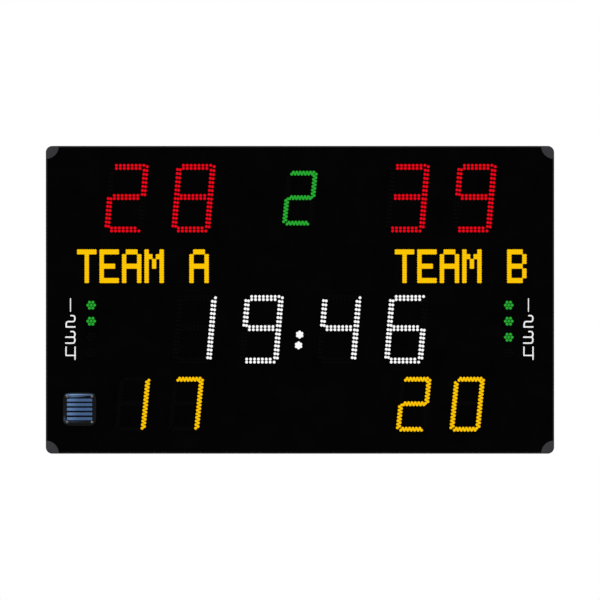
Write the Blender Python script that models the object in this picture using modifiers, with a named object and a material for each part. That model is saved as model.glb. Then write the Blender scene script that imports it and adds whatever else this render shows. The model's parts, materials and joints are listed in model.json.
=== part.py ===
"""Water polo scoreboard: a wall-hung electronic board whose front opens upwards, in metres.

+X is to the right of someone who reads the board, +Z is up, and the board faces -Y. The wall is the
plane y = 0, and the origin is the centre of the wall rail's back face. Distances named with DEPTH
count backwards from the front plane of the door, towards the wall.
"""
import math

import bmesh
import bpy
from mathutils import Matrix, Vector

# Whole board, read from the front; its height follows from the rows of lamps and the gaps below
BOARD_WIDTH = 1.840
BOARD_CORNER_RADIUS = 0.023
TOP_MARGIN = 0.0600
SCORE_TO_NAME_GAP = 0.0503
NAME_TO_CLOCK_GAP = 0.0338
CLOCK_TO_PENALTY_GAP = 0.0360
BOTTOM_MARGIN = 0.0741
TOP_ABOVE_RAIL = 0.130
CLEARANCE = 0.0003
OVERLAP = 0.0006

# Depths from the wall forward
STANDOFF = 0.020
CABINET_DEPTH = 0.066
DOOR_GAP = 0.004
DOOR_DEPTH = 0.020

# Sheet metal cabinet
SHEET_METAL = 0.002
FRONT_LIP = 0.014
REAR_LIP = 0.020
LIP_STUB = 0.0005
SEAL_WIDTH = 0.010
SEAL_CORNER_RADIUS = 0.006

# Continuous hinge along the top
KNUCKLE_RADIUS = 0.004
HINGE_PIN_RADIUS = 0.002
HINGE_LEAF = 0.0015
HINGE_SETBACK = 0.012
HINGE_END_GAP = 0.023
HINGE_KNUCKLES = 11
KNUCKLE_GAP = 0.0005
CABINET_LEAF_WIDTH = 0.025

# Rail that the cabinet hangs on
RAIL_LENGTH = 1.200
RAIL_HEIGHT = 0.050
RAIL_PLATE = 0.003
RAIL_REACH = 0.012
RAIL_LIP = 0.0025
RAIL_LIP_HEIGHT = 0.020
RAIL_HOLE_RADIUS = 0.0035
RAIL_HOLE_PITCH = 0.200
HANGER_PLATE_HEIGHT = 0.050
HANGER_HOOK_GAP = 0.002
HANGER_HOOK_DROP = 0.017
BUFFER_RADIUS = 0.018
BUFFER_TIP_RADIUS = 0.014
BUFFER_FROM_EDGE = 0.120
BUFFER_ABOVE_BOTTOM = 0.090

# Door: rim profiles, corner pieces and face sheet
PROFILE_WALL = 0.002
PROFILE_FRONT_LIP = 0.006
PROFILE_LIP_THICKNESS = 0.0015
PROFILE_INNER_LIP = 0.012
HINGE_WALL = 0.004
REBATE_START_DEPTH = 0.008
FACE_SHEET = 0.003
CORNER_PIECE_RADIUS = 0.047
CORNER_PIECE_PROUD = 0.0005
CORNER_POCKET_WALL = 0.0025
CORNER_POCKET_FLOOR = 0.003
CORNER_KEY_WIDTH = 0.0097
CORNER_KEY_LENGTH = 0.025

# Display boards behind the windows
LARGE_DIGIT_HEIGHT = 0.251
LARGE_DIGIT_WIDTH = 0.146
LARGE_DIGIT_SLANT = 0.0825
SMALL_DIGIT_HEIGHT = 0.202
SMALL_DIGIT_WIDTH = 0.116
SMALL_DIGIT_SLANT = 0.0975
SEGMENT_WIDTH = 0.025
SMALL_SEGMENT_WIDTH = 0.022
SEGMENT_GAP = 0.0015
WINDOW_MARGIN = 0.004
LAMP_RISE = 0.001
BOARD_PLUG_SETBACK = 0.0003
CIRCUIT_BOARD = 0.006
BOARD_FLANGE = 0.008
CONNECTOR_SIZE = (0.060, 0.022)
CONNECTOR_HEIGHT = 0.006

SCORE_HOME_FROM_EDGE = 0.4127
SCORE_GUEST_FROM_EDGE = 0.4093
LARGE_DIGIT_PITCH = 0.2425
CLOCK_INNER_X = 0.1395
CLOCK_OUTER_X = 0.3845
COLON_X = -0.003
COLON_UPPER_DROP = 0.0186
COLON_LOWER_DROP = 0.0576
COLON_RADIUS = 0.0149
PERIOD_ABOVE_SCORE = 0.0007
PENALTY_FROM_EDGE = 0.4113
SMALL_DIGIT_PITCH = 0.1937
NAME_LEFT_FROM_EDGE = 0.3511
NAME_RIGHT_FROM_EDGE = 0.3381
NAME_LETTERS = 6
NAME_LETTER_PITCH = 0.0813
NAME_LETTER_WIDTH = 0.0728
NAME_HEIGHT = 0.1238
LAMPS_FROM_EDGE = 0.164
LAMPS_ABOVE_CLOCK = 0.001
LAMP_PITCH = 0.0580
LAMP_COUNT = 4
LAMP_CLUSTER_RADIUS = 0.0181

# What the board shows
HOME_SCORE = "28"
GUEST_SCORE = "39"
CLOCK_TIME = "1946"
PERIOD = "2"
HOME_PENALTY = "17"
GUEST_PENALTY = "20"
HOME_TIMEOUTS = 2
GUEST_TIMEOUTS = 3

# Horn in the lower left of the door
HORN_FROM_EDGE = 0.1224
HORN_BELOW_PENALTY = 0.0182
GRILLE_WIDTH = 0.1227
GRILLE_HEIGHT = 0.1234
GRILLE_CORNER_RADIUS = 0.012
GRILLE_BULGE = 0.005
GRILLE_DEPTH = 0.0075
GRILLE_OPENING_WIDTH = 0.0902
GRILLE_OPENING_HEIGHT = 0.0797
SLAT_COUNT = 5
SLAT_PITCH = 0.01665
SLAT_HEIGHT = 0.0123
SLAT_THICKNESS = 0.002
SLAT_SETBACK = 0.001
GRILLE_SCREW_X = 0.0450
GRILLE_SCREW_Z = 0.0465
SCREW_RADIUS = 0.002
SCREW_HEAD_RADIUS = 0.0042
SCREW_HEAD_HEIGHT = 0.0018
SCREW_FACE_RADIUS = 0.0025
SCREW_RIM_HEIGHT = 0.0007
SCREW_END_DEPTH = 0.014
DRIVER_PLATE_SIZE = 0.118
DRIVER_PLATE = 0.003
DRIVER_MOUTH_RADIUS = 0.036
DRIVER_CAN_RADIUS = 0.033
DRIVER_THROAT_RADIUS = 0.012
DRIVER_DEPTH = 0.046

# Stay arms that fold between door and cabinet
STAY_LENGTH = 0.250
STAY_THICKNESS = 0.003
STAY_RADIUS = 0.008
STAY_PIN_RADIUS = 0.003
ROLLER_RADIUS = 0.004
ROLLER_HEAD_RADIUS = 0.006
ROLLER_HEAD = 0.0027
STAY_SIDE_GAP = 0.0013
STAY_GUIDE_GAP = 0.0008
GUIDE_WIDTH = 0.0147
GUIDE_FRONT = 0.009
GUIDE_REAR = 0.012
GUIDE_END = 0.020
DOOR_OPEN_ANGLE = math.radians(70.0)
BRACKET_PLATE_HALF_HEIGHT = 0.020
BRACKET_PLATE_WIDTH = 0.0145
BRACKET_PLATE = 0.002
BRACKET_EAR_HALF_HEIGHT = 0.014

# Quarter-turn locks in the cabinet's bottom
LOCK_FROM_EDGE = 0.370
LOCK_SETBACK = 0.016
LOCK_FLANGE_RADIUS = 0.011
LOCK_FLANGE = 0.003
LOCK_BODY_RADIUS = 0.008
LOCK_NUT_RADIUS = 0.0105
LOCK_NUT = 0.006
LOCK_BODY_HEIGHT = 0.010
BARREL_RADIUS = 0.004
BARREL_HEAD_RADIUS = 0.006
BARREL_HEAD = 0.0015
KEYWAY = (0.005, 0.0012, 0.001)
CAM_LENGTH = 0.013
CAM_RADIUS = 0.004
CAM_THICKNESS = 0.003
CAM_ABOVE_LIP = 0.0036
STRIKE_METAL = 0.002
STRIKE_NEAR_X = 0.006
STRIKE_FAR_X = 0.030
STRIKE_HEIGHT = 0.0224
STRIKE_HOOK = 0.0075
STRIKE_HOOK_METAL = 0.003
STRIKE_HOOK_GAP = 0.0015
STRIKE_ABOVE_LIP = 0.0006

# Glands and electronics inside the cabinet
GLAND_X = (0.300, 0.380)
GLAND_SETBACK = 0.036
GLAND_BORE_RADIUS = 0.0055
GLAND_THREAD_RADIUS = 0.0097
GLAND_CAP_RADIUS = 0.0125
GLAND_CAP = 0.0072
GLAND_NUT = 0.005
GLAND_INNER_REACH = 0.009
ELECTRONICS_ABOVE_BOTTOM = 0.284
DIN_RAIL_X = 0.360
DIN_RAIL_LENGTH = 0.260
DIN_RAIL_DEPTH = 0.0075
DIN_RAIL_METAL = 0.001
DIN_RAIL_HALF = 0.0175
DIN_CROWN_HALF = 0.0135
BREAKER_X = 0.280
BREAKER_WIDTH = 0.018
BREAKER_HALF_HEIGHT = 0.040
BREAKER_NOSE_HALF = 0.022
BREAKER_BODY_DEPTH = 0.032
BREAKER_NOSE_DEPTH = 0.008
TOGGLE_SLOT_WIDTH = 0.008
TOGGLE_SLOT_HALF = 0.015
TOGGLE_HUB_RADIUS = 0.005
TOGGLE_AXLE_RADIUS = 0.0015
TOGGLE_REACH = 0.014
TOGGLE_LEVER = 0.004
TOGGLE_REST_ANGLE = math.radians(30.0)
TERMINAL_X = 0.400
TERMINAL_WIDTH = 0.072
TERMINAL_COUNT = 9
TERMINAL_DEPTH = 0.030
TERMINAL_HALF_HEIGHT = 0.022
TERMINAL_GROOVE = 0.0012
SUPPLY_X = 0.020
SUPPLY_SIZE = (0.215, 0.034, 0.115)
SUPPLY_SLOTS = 7
SUPPLY_GROOVE = 0.003
CONTROLLER_X = -0.300
CONTROLLER_SIZE = (0.180, 0.0016, 0.120)
CONTROLLER_STANDOFF = 0.008
# Chips as (across, up, width, height, rise) from the board's centre
CONTROLLER_CHIPS = ((0.010, 0.005, 0.028, 0.028, 0.003), (-0.055, 0.030, 0.030, 0.016, 0.014),
                    (-0.055, 0.000, 0.030, 0.016, 0.014), (-0.055, -0.030, 0.030, 0.016, 0.014),
                    (0.060, 0.020, 0.012, 0.050, 0.009), (0.060, -0.035, 0.012, 0.030, 0.009),
                    (0.010, -0.040, 0.050, 0.010, 0.010))
RADIO_X = -0.300
RADIO_ABOVE = 0.200
RADIO_SIZE = (0.070, 0.018, 0.045)
ANTENNA_RADIUS = 0.004
ANTENNA_HEIGHT = 0.060
VENT_FROM_EDGE = 0.320
VENT_BELOW_TOP = 0.430
VENT_COUNT = 8
VENT_PITCH = 0.016
VENT_SIZE = (0.006, 0.060)
LOOM_RADIUS = 0.004
LOOM_CLIP = 0.012
LOOM_CLIP_SHARES = (0.3, 0.7)
LOOM_DROP = 0.090

# Places that follow from the sizes above
HALF_WIDTH = BOARD_WIDTH / 2
TOP_Z = TOP_ABOVE_RAIL
LARGE_ROW = LARGE_DIGIT_HEIGHT + 2 * WINDOW_MARGIN
SMALL_ROW = SMALL_DIGIT_HEIGHT + 2 * WINDOW_MARGIN
NAME_ROW = NAME_HEIGHT + 2 * WINDOW_MARGIN
SCORE_Z = TOP_Z - TOP_MARGIN - LARGE_ROW / 2
NAME_Z = SCORE_Z - LARGE_ROW / 2 - SCORE_TO_NAME_GAP - NAME_ROW / 2
CLOCK_Z = NAME_Z - NAME_ROW / 2 - NAME_TO_CLOCK_GAP - LARGE_ROW / 2
PENALTY_Z = CLOCK_Z - LARGE_ROW / 2 - CLOCK_TO_PENALTY_GAP - SMALL_ROW / 2
BOTTOM_Z = PENALTY_Z - SMALL_ROW / 2 - BOTTOM_MARGIN
BOARD_HEIGHT = TOP_Z - BOTTOM_Z
MIDDLE_Z = (TOP_Z + BOTTOM_Z) / 2
PERIOD_Z = SCORE_Z + PERIOD_ABOVE_SCORE
FIRST_LAMP_Z = CLOCK_Z + LAMPS_ABOVE_CLOCK + (LAMP_COUNT - 1) / 2 * LAMP_PITCH
HORN_X = HORN_FROM_EDGE - HALF_WIDTH
HORN_Z = PENALTY_Z - HORN_BELOW_PENALTY
HINGE_LENGTH = BOARD_WIDTH - 2 * (CORNER_PIECE_RADIUS + HINGE_END_GAP)
BUFFER_X = HALF_WIDTH - BUFFER_FROM_EDGE
LOCK_X = HALF_WIDTH - LOCK_FROM_EDGE
VENT_X = HALF_WIDTH - VENT_FROM_EDGE
VENT_Z = TOP_Z - VENT_BELOW_TOP
ELECTRONICS_Z = BOTTOM_Z + ELECTRONICS_ABOVE_BOTTOM
CABINET_BACK_Y = -STANDOFF
CABINET_FRONT_Y = CABINET_BACK_Y - CABINET_DEPTH
DOOR_BACK_Y = CABINET_FRONT_Y - DOOR_GAP
DOOR_FRONT_Y = DOOR_BACK_Y - DOOR_DEPTH
HINGE_Y = CABINET_FRONT_Y + HINGE_SETBACK
HINGE_Z = TOP_Z - KNUCKLE_RADIUS
CABINET_INSET = 2 * KNUCKLE_RADIUS + CLEARANCE
CABINET_HALF_WIDTH = HALF_WIDTH - CABINET_INSET
CABINET_TOP_Z = TOP_Z - CABINET_INSET
CABINET_BOTTOM_Z = BOTTOM_Z + CABINET_INSET
CABINET_FLOOR_Z = CABINET_BOTTOM_Z + SHEET_METAL
INNER_HALF_WIDTH = CABINET_HALF_WIDTH - SHEET_METAL
PANEL_FRONT_Y = CABINET_BACK_Y - 2 * SHEET_METAL - CLEARANCE
SHEET_FRONT_DEPTH = PROFILE_LIP_THICKNESS + CLEARANCE
SHEET_BACK_DEPTH = SHEET_FRONT_DEPTH + FACE_SHEET
INNER_LIP_DEPTH = SHEET_BACK_DEPTH + CLEARANCE
SHEET_INSET = PROFILE_WALL + CLEARANCE
PIN_BORE_RADIUS = HINGE_PIN_RADIUS + CLEARANCE
STAY_PIVOT_Z = HINGE_Z - STAY_LENGTH
STAY_ROLLER_Z = HINGE_Z - 2 * STAY_LENGTH
STAY_ROLLER_OPEN_Z = HINGE_Z - 2 * STAY_LENGTH * math.cos(DOOR_OPEN_ANGLE)
GUIDE_INNER_X = INNER_HALF_WIDTH - CLEARANCE - GUIDE_WIDTH
ARM_OUTER_X = GUIDE_INNER_X - STAY_GUIDE_GAP
ARM_INNER_X = ARM_OUTER_X - STAY_THICKNESS
EAR_OUTER_X = ARM_INNER_X - STAY_SIDE_GAP
EAR_INNER_X = EAR_OUTER_X - STAY_THICKNESS
LOCK_Y = CABINET_FRONT_Y + LOCK_SETBACK
CAM_Z = CABINET_BOTTOM_Z + FRONT_LIP + CAM_ABOVE_LIP
RAIL_Z = RAIL_HEIGHT / 2

# Turns that lay a flat outline in another plane
UPRIGHT = (math.pi / 2, 0.0, 0.0)
ACROSS = (math.pi / 2, 0.0, math.pi / 2)
LEVEL = (0.0, 0.0, 0.0)

# Bars that each figure lights, lettered a to f clockwise from the top, with g in the middle
SEGMENTS_OF = {"0": "abcdef", "1": "bc", "2": "abged", "3": "abgcd", "4": "fgbc",
               "5": "afgcd", "6": "afgedc", "7": "abc", "8": "abcdefg", "9": "abcdfg"}

# Finishes: colour, roughness, metallic
FINISHES = {
    "black_profile": ((0.030, 0.030, 0.033), 0.40, 0.6),
    "corner_plastic": ((0.210, 0.205, 0.220), 0.55, 0.0),
    "black_sheet": ((0.012, 0.012, 0.013), 0.60, 0.0),
    "lamp_red": ((0.95, 0.02, 0.10), 0.40, 0.0),
    "lamp_green": ((0.14, 0.72, 0.16), 0.40, 0.0),
    "lamp_white": ((0.95, 0.95, 0.95), 0.40, 0.0),
    "lamp_amber": ((1.00, 0.78, 0.02), 0.40, 0.0),
    "lamp_off": ((0.020, 0.020, 0.022), 0.35, 0.0),
    "grille_plastic": ((0.080, 0.090, 0.110), 0.25, 0.0),
    "driver_metal": ((0.120, 0.120, 0.125), 0.45, 0.8),
    "cabinet_metal": ((0.180, 0.185, 0.190), 0.50, 0.3),
    "zinc_steel": ((0.620, 0.630, 0.640), 0.35, 1.0),
    "bright_steel": ((0.720, 0.725, 0.730), 0.25, 1.0),
    "seal_rubber": ((0.035, 0.035, 0.035), 0.85, 0.0),
    "circuit_green": ((0.040, 0.220, 0.100), 0.45, 0.0),
    "device_grey": ((0.500, 0.510, 0.520), 0.55, 0.0),
    "device_black": ((0.050, 0.050, 0.055), 0.50, 0.0),
    "gland_nylon": ((0.070, 0.070, 0.075), 0.50, 0.0),
}


def clear_scene():
    """Remove every object that the file opened with."""
    for old in list(bpy.data.objects):
        bpy.data.objects.remove(old, do_unlink=True)


def new_collection(name):
    """Make a collection in the scene and return it."""
    collection = bpy.data.collections.new(name)
    bpy.context.scene.collection.children.link(collection)
    return collection


def new_material(name, finish):
    """Principled material called name, with one of the FINISHES."""
    colour, roughness, metallic = FINISHES[finish]
    material = bpy.data.materials.new(name)
    material.use_nodes = True
    shader = material.node_tree.nodes["Principled BSDF"]
    shader.inputs["Base Color"].default_value = (*colour, 1.0)
    shader.inputs["Roughness"].default_value = roughness
    shader.inputs["Metallic"].default_value = metallic
    material.diffuse_color = (*colour, 1.0)
    return material


def arc(centre, radius, start, end, steps):
    """Points on a circle about centre, from angle start to end in degrees, both ends included."""
    points = []
    for index in range(steps + 1):
        angle = math.radians(start + (end - start) * index / steps)
        points.append((centre[0] + radius * math.cos(angle), centre[1] + radius * math.sin(angle)))
    return points


def circle(centre, radius, steps):
    """Closed round outline."""
    return arc(centre, radius, 0.0, 360.0, steps)[:-1]


def rectangle(centre, width, height):
    """Closed rectangular outline about a centre."""
    x, y = centre
    return [(x - width / 2, y - height / 2), (x + width / 2, y - height / 2),
            (x + width / 2, y + height / 2), (x - width / 2, y + height / 2)]


def rounded_rectangle(centre, width, height, radius, steps):
    """Closed rectangular outline with quarter-round corners."""
    points = []
    for turn, (side_x, side_y) in enumerate(((1, 1), (-1, 1), (-1, -1), (1, -1))):
        corner = (centre[0] + side_x * (width / 2 - radius), centre[1] + side_y * (height / 2 - radius))
        points += arc(corner, radius, 90.0 * turn, 90.0 * turn + 90.0, steps)
    return points


def box_mesh(name, low, high):
    """Box from its low corner to its high corner."""
    work = bmesh.new()
    bmesh.ops.create_cube(work, size=1.0)
    low, high = Vector(low), Vector(high)
    bmesh.ops.transform(work, verts=work.verts,
                        matrix=Matrix.Translation((low + high) / 2) @ Matrix.Diagonal((*(high - low), 1.0)))
    mesh = bpy.data.meshes.new(name)
    work.to_mesh(mesh)
    work.free()
    return mesh


def rod_mesh(name, radius, start, end, steps, tip_radius=None):
    """Round rod from start to end, with another radius at its end if tip_radius is given."""
    start, end = Vector(start), Vector(end)
    way = end - start
    turn = way.to_track_quat("Z", "Y").to_matrix().to_4x4()
    work = bmesh.new()
    bmesh.ops.create_cone(work, cap_ends=True, segments=steps, radius1=radius,
                          radius2=radius if tip_radius is None else tip_radius, depth=way.length)
    bmesh.ops.transform(work, verts=work.verts, matrix=Matrix.Translation((start + end) / 2) @ turn)
    mesh = bpy.data.meshes.new(name)
    work.to_mesh(mesh)
    work.free()
    return mesh


def plate_mesh(name, outlines, thickness):
    """Flat plate about z = 0, filled between closed outlines: outer edges and holes."""
    curve = bpy.data.curves.new(name, "CURVE")
    curve.dimensions = "2D"
    curve.fill_mode = "BOTH"
    curve.extrude = thickness / 2
    for outline in outlines:
        spline = curve.splines.new("POLY")
        spline.points.add(len(outline) - 1)
        for point, (x, y) in zip(spline.points, outline):
            point.co = (x, y, 0.0, 1.0)
        spline.use_cyclic_u = True
    return mesh_from_curve(name, curve)


def tube_mesh(name, points, radius):
    """Round tube along points, closed at both ends."""
    curve = bpy.data.curves.new(name, "CURVE")
    curve.dimensions = "3D"
    curve.bevel_depth = radius
    curve.bevel_resolution = 2
    curve.use_fill_caps = True
    spline = curve.splines.new("POLY")
    spline.points.add(len(points) - 1)
    for target, point in zip(spline.points, points):
        target.co = (*point, 1.0)
    return mesh_from_curve(name, curve)


def mesh_from_curve(name, curve):
    """Welded mesh of a curve, whose own object is removed again."""
    outline = bpy.data.objects.new(name + "_outline", curve)
    bpy.context.scene.collection.objects.link(outline)
    seen = outline.evaluated_get(bpy.context.evaluated_depsgraph_get())
    mesh = bpy.data.meshes.new_from_object(seen)
    mesh.transform(outline.matrix_world)
    mesh.name = name
    bpy.data.objects.remove(outline)
    work = bmesh.new()
    work.from_mesh(mesh)
    bmesh.ops.remove_doubles(work, verts=work.verts, dist=0.00001)
    bmesh.ops.recalc_face_normals(work, faces=work.faces)
    work.to_mesh(mesh)
    work.free()
    return mesh


class Builder:
    """Places pieces in the model's collection, and what cuts or joins them in the guides' one."""

    def __init__(self, name):
        self.parts = new_collection(name)
        self.guides = new_collection("guides")

    def axis(self, name, place):
        """Empty on a joint's axis, for the pieces that turn or slide with it."""
        empty = bpy.data.objects.new(name, None)
        empty.empty_display_size = 0.03
        empty.location = place
        self.guides.objects.link(empty)
        return empty

    def add(self, name, mesh, finish, place=(0.0, 0.0, 0.0), turn=LEVEL, parent=None):
        """One named piece with its own material, placed and turned in the row's frame."""
        piece = bpy.data.objects.new(name, mesh)
        self.parts.objects.link(piece)
        piece.location = Vector(place)
        if parent is not None:
            piece.parent = parent
            piece.location -= parent.location
        piece.rotation_euler = turn
        mesh.materials.clear()
        mesh.materials.append(new_material(name, finish))
        mesh.shade_smooth()
        mesh.set_sharp_from_angle(angle=math.radians(35.0))
        return piece

    def combine(self, piece, operation, mesh, place=(0.0, 0.0, 0.0), turn=LEVEL, finish=None):
        """Cut a mesh out of a piece, or join it on, with an exact Boolean."""
        tool = bpy.data.objects.new(f"{piece.name}_{operation.lower()}", mesh)
        self.guides.objects.link(tool)
        tool.location = place
        tool.rotation_euler = turn
        tool.hide_render = True
        tool.display_type = "WIRE"
        modifier = piece.modifiers.new(operation.title(), "BOOLEAN")
        modifier.operation = operation
        modifier.solver = "EXACT"
        modifier.object = tool
        if finish is not None:
            mesh.materials.clear()
            mesh.materials.append(new_material(f"{piece.name}_{finish}", finish))
            modifier.material_mode = "TRANSFER"

    def cut(self, piece, mesh, place=(0.0, 0.0, 0.0), turn=LEVEL):
        """Take a mesh away from a piece."""
        self.combine(piece, "DIFFERENCE", mesh, place, turn)

    def join(self, piece, mesh, place=(0.0, 0.0, 0.0), turn=LEVEL, finish=None):
        """Fuse a mesh to a piece."""
        self.combine(piece, "UNION", mesh, place, turn, finish)


def turned_mesh(name, profile, steps):
    """Solid turned about the z axis from (radius, height) points, listed from top to bottom."""
    outline = bpy.data.meshes.new(name + "_profile")
    edges = [(index, index + 1) for index in range(len(profile) - 1)]
    outline.from_pydata([(radius, 0.0, height) for radius, height in profile], edges, [])
    spun = bpy.data.objects.new(name + "_profile", outline)
    bpy.context.scene.collection.objects.link(spun)
    screw = spun.modifiers.new("Turn", "SCREW")
    screw.axis = "Z"
    screw.steps = steps
    screw.render_steps = steps
    screw.use_merge_vertices = True
    screw.merge_threshold = 0.00005
    mesh = bpy.data.meshes.new_from_object(spun.evaluated_get(bpy.context.evaluated_depsgraph_get()))
    mesh.name = name
    bpy.data.objects.remove(spun)
    work = bmesh.new()
    work.from_mesh(mesh)
    bmesh.ops.remove_doubles(work, verts=work.verts, dist=0.00001)
    bmesh.ops.recalc_face_normals(work, faces=work.faces)
    work.to_mesh(mesh)
    work.free()
    return mesh


def joined_boxes(name, boxes):
    """One mesh of several separate boxes, each given by its low and high corner."""
    work = bmesh.new()
    for low, high in boxes:
        low, high = Vector(low), Vector(high)
        cube = bmesh.ops.create_cube(work, size=1.0)
        place = Matrix.Translation((low + high) / 2) @ Matrix.Diagonal((*(high - low), 1.0))
        bmesh.ops.transform(work, verts=cube["verts"], matrix=place)
    mesh = bpy.data.meshes.new(name)
    work.to_mesh(mesh)
    work.free()
    return mesh


def build_wall_rail(builder):
    """Rail screwed to the wall: a plate with a hooked upper edge, and a row of screw holes."""
    top = RAIL_HEIGHT / 2
    section = [(0.0, -top), (0.0, top), (RAIL_LIP - RAIL_REACH, top),
               (RAIL_LIP - RAIL_REACH, top + RAIL_LIP_HEIGHT), (-RAIL_REACH, top + RAIL_LIP_HEIGHT),
               (-RAIL_REACH, top - RAIL_PLATE), (-RAIL_PLATE, top - RAIL_PLATE), (-RAIL_PLATE, -top)]
    mesh = plate_mesh("wall_rail", [section], RAIL_LENGTH)
    rail = builder.add("wall_rail", mesh, "zinc_steel", turn=ACROSS)
    holes = int((RAIL_LENGTH / 2 - RAIL_HEIGHT / 2) / RAIL_HOLE_PITCH)
    for index in range(-holes, holes + 1):
        if index:
            x = index * RAIL_HOLE_PITCH - math.copysign(RAIL_HOLE_PITCH / 2, index)
            start, end = (x, RAIL_PLATE, 0.0), (x, -2 * RAIL_PLATE, 0.0)
            builder.cut(rail, rod_mesh("rail_drill", RAIL_HOLE_RADIUS, start, end, 16))


def build_hanger_rail(builder, lift):
    """Hook along the cabinet's back that drops over the wall rail's upper edge."""
    hook_z = RAIL_Z + RAIL_LIP_HEIGHT + CLEARANCE
    plate_front = CABINET_BACK_Y - SHEET_METAL
    plate_back = plate_front + RAIL_LIP
    hook_front = RAIL_LIP - RAIL_REACH + HANGER_HOOK_GAP
    hook_back = hook_front + RAIL_LIP
    hook_low = hook_z - HANGER_HOOK_DROP
    section = [(plate_front, hook_z), (hook_front, hook_z), (hook_front, hook_low), (hook_back, hook_low),
               (hook_back, hook_z + RAIL_PLATE), (plate_back, hook_z + RAIL_PLATE),
               (plate_back, hook_z + HANGER_PLATE_HEIGHT), (plate_front, hook_z + HANGER_PLATE_HEIGHT)]
    mesh = plate_mesh("hanger_rail", [section], RAIL_LENGTH)
    builder.add("hanger_rail", mesh, "zinc_steel", turn=ACROSS, parent=lift)


def build_back_panel(builder, lift):
    """Back panel inside the cabinet's rear lips, with two groups of upright vent slots."""
    width = 2 * (INNER_HALF_WIDTH - CLEARANCE)
    height = CABINET_TOP_Z - CABINET_BOTTOM_Z - 2 * (SHEET_METAL + CLEARANCE)
    outlines = [rectangle((0.0, MIDDLE_Z), width, height)]
    for side in (-1, 1):
        for index in range(VENT_COUNT):
            x = side * VENT_X + (index - (VENT_COUNT - 1) / 2) * VENT_PITCH
            outlines.append(rectangle((x, VENT_Z), *VENT_SIZE))
    y = PANEL_FRONT_Y + SHEET_METAL / 2
    mesh = plate_mesh("back_panel", outlines, SHEET_METAL)
    builder.add("back_panel", mesh, "cabinet_metal", (0.0, y, 0.0), UPRIGHT, lift)


def channel_section(outer, inward):
    """Cabinet wall in section: web at outer, lips turned inward (+1 or -1) at front and back."""
    inner = outer + inward * SHEET_METAL
    front = CABINET_FRONT_Y
    back = CABINET_BACK_Y
    return [(outer, front), (outer, back), (outer + inward * REAR_LIP, back),
            (outer + inward * REAR_LIP, back - SHEET_METAL), (inner, back - SHEET_METAL),
            (inner, front + SHEET_METAL), (outer + inward * FRONT_LIP, front + SHEET_METAL),
            (outer + inward * FRONT_LIP, front)]


def build_cabinet_ends(builder, lift):
    """Top and bottom channels of the cabinet, whose lips stop short of the side channels."""
    lip_end = INNER_HALF_WIDTH - LIP_STUB - CLEARANCE
    pieces = {}
    for name, outer, inward in (("cabinet_top", CABINET_TOP_Z, -1),
                                ("cabinet_bottom", CABINET_BOTTOM_Z, 1)):
        section = [(y, z) for z, y in channel_section(outer, inward)]
        mesh = plate_mesh(name, [section], 2 * CABINET_HALF_WIDTH)
        piece = builder.add(name, mesh, "cabinet_metal", turn=ACROSS, parent=lift)
        near = outer + inward * (SHEET_METAL + LIP_STUB)
        far = outer + inward * 2 * REAR_LIP
        corners = []
        for side in (-1, 1):
            xs = sorted((side * lip_end, side * HALF_WIDTH))
            corners.append(((xs[0], CABINET_FRONT_Y - SHEET_METAL, min(near, far)),
                            (xs[1], CABINET_BACK_Y + SHEET_METAL, max(near, far))))
        builder.cut(piece, joined_boxes(name + "_corners", corners))
        pieces[name] = piece
    return pieces["cabinet_bottom"]


def build_cabinet_sides(builder, lift):
    """Left and right channels, cut back so that their lips clear the top and bottom ones."""
    height = CABINET_TOP_Z - CABINET_BOTTOM_Z - 2 * (SHEET_METAL + LIP_STUB + CLEARANCE)
    reach = INNER_HALF_WIDTH - LIP_STUB
    middle = (CABINET_FRONT_Y + CABINET_BACK_Y) / 2
    for name, side in (("cabinet_left", -1), ("cabinet_right", 1)):
        section = channel_section(side * CABINET_HALF_WIDTH, -side)
        mesh = plate_mesh(name, [section], height)
        piece = builder.add(name, mesh, "cabinet_metal", (0.0, 0.0, MIDDLE_Z), LEVEL, lift)
        xs = sorted((side * (reach - 2 * REAR_LIP), side * reach))
        notches = []
        for end, inward in ((CABINET_TOP_Z, -1), (CABINET_BOTTOM_Z, 1)):
            for lip, edge in ((FRONT_LIP, CABINET_FRONT_Y - SHEET_METAL),
                              (REAR_LIP, CABINET_BACK_Y + SHEET_METAL)):
                zs = sorted((end - inward * SHEET_METAL, end + inward * (lip + CLEARANCE)))
                ys = sorted((edge, middle + math.copysign(LIP_STUB, edge - middle)))
                notches.append(((xs[0], ys[0], zs[0]), (xs[1], ys[1], zs[1])))
        builder.cut(piece, joined_boxes(name + "_notches", notches))


def build_seal_and_buffers(builder, lift):
    """Rubber seal on the cabinet's front lips, and two rubber buffers that rest on the wall."""
    width = 2 * INNER_HALF_WIDTH
    height = CABINET_TOP_Z - CABINET_BOTTOM_Z - 2 * SHEET_METAL
    centre = (0.0, MIDDLE_Z)
    thickness = DOOR_GAP - 2 * CLEARANCE
    outer = rounded_rectangle(centre, width, height, SEAL_CORNER_RADIUS + SEAL_WIDTH, 4)
    inner = rounded_rectangle(centre, width - 2 * SEAL_WIDTH, height - 2 * SEAL_WIDTH,
                              SEAL_CORNER_RADIUS, 4)
    y = CABINET_FRONT_Y - DOOR_GAP / 2
    mesh = plate_mesh("door_seal", [outer, inner], thickness)
    builder.add("door_seal", mesh, "seal_rubber", (0.0, y, 0.0), UPRIGHT, lift)
    z = CABINET_BOTTOM_Z + BUFFER_ABOVE_BOTTOM
    start_y = CABINET_BACK_Y - SHEET_METAL
    for name, side in (("buffer_left", -1), ("buffer_right", 1)):
        x = side * BUFFER_X
        mesh = rod_mesh(name, BUFFER_RADIUS, (x, start_y, z), (x, 0.0, z), 24, BUFFER_TIP_RADIUS)
        builder.add(name, mesh, "seal_rubber", parent=lift)


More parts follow.
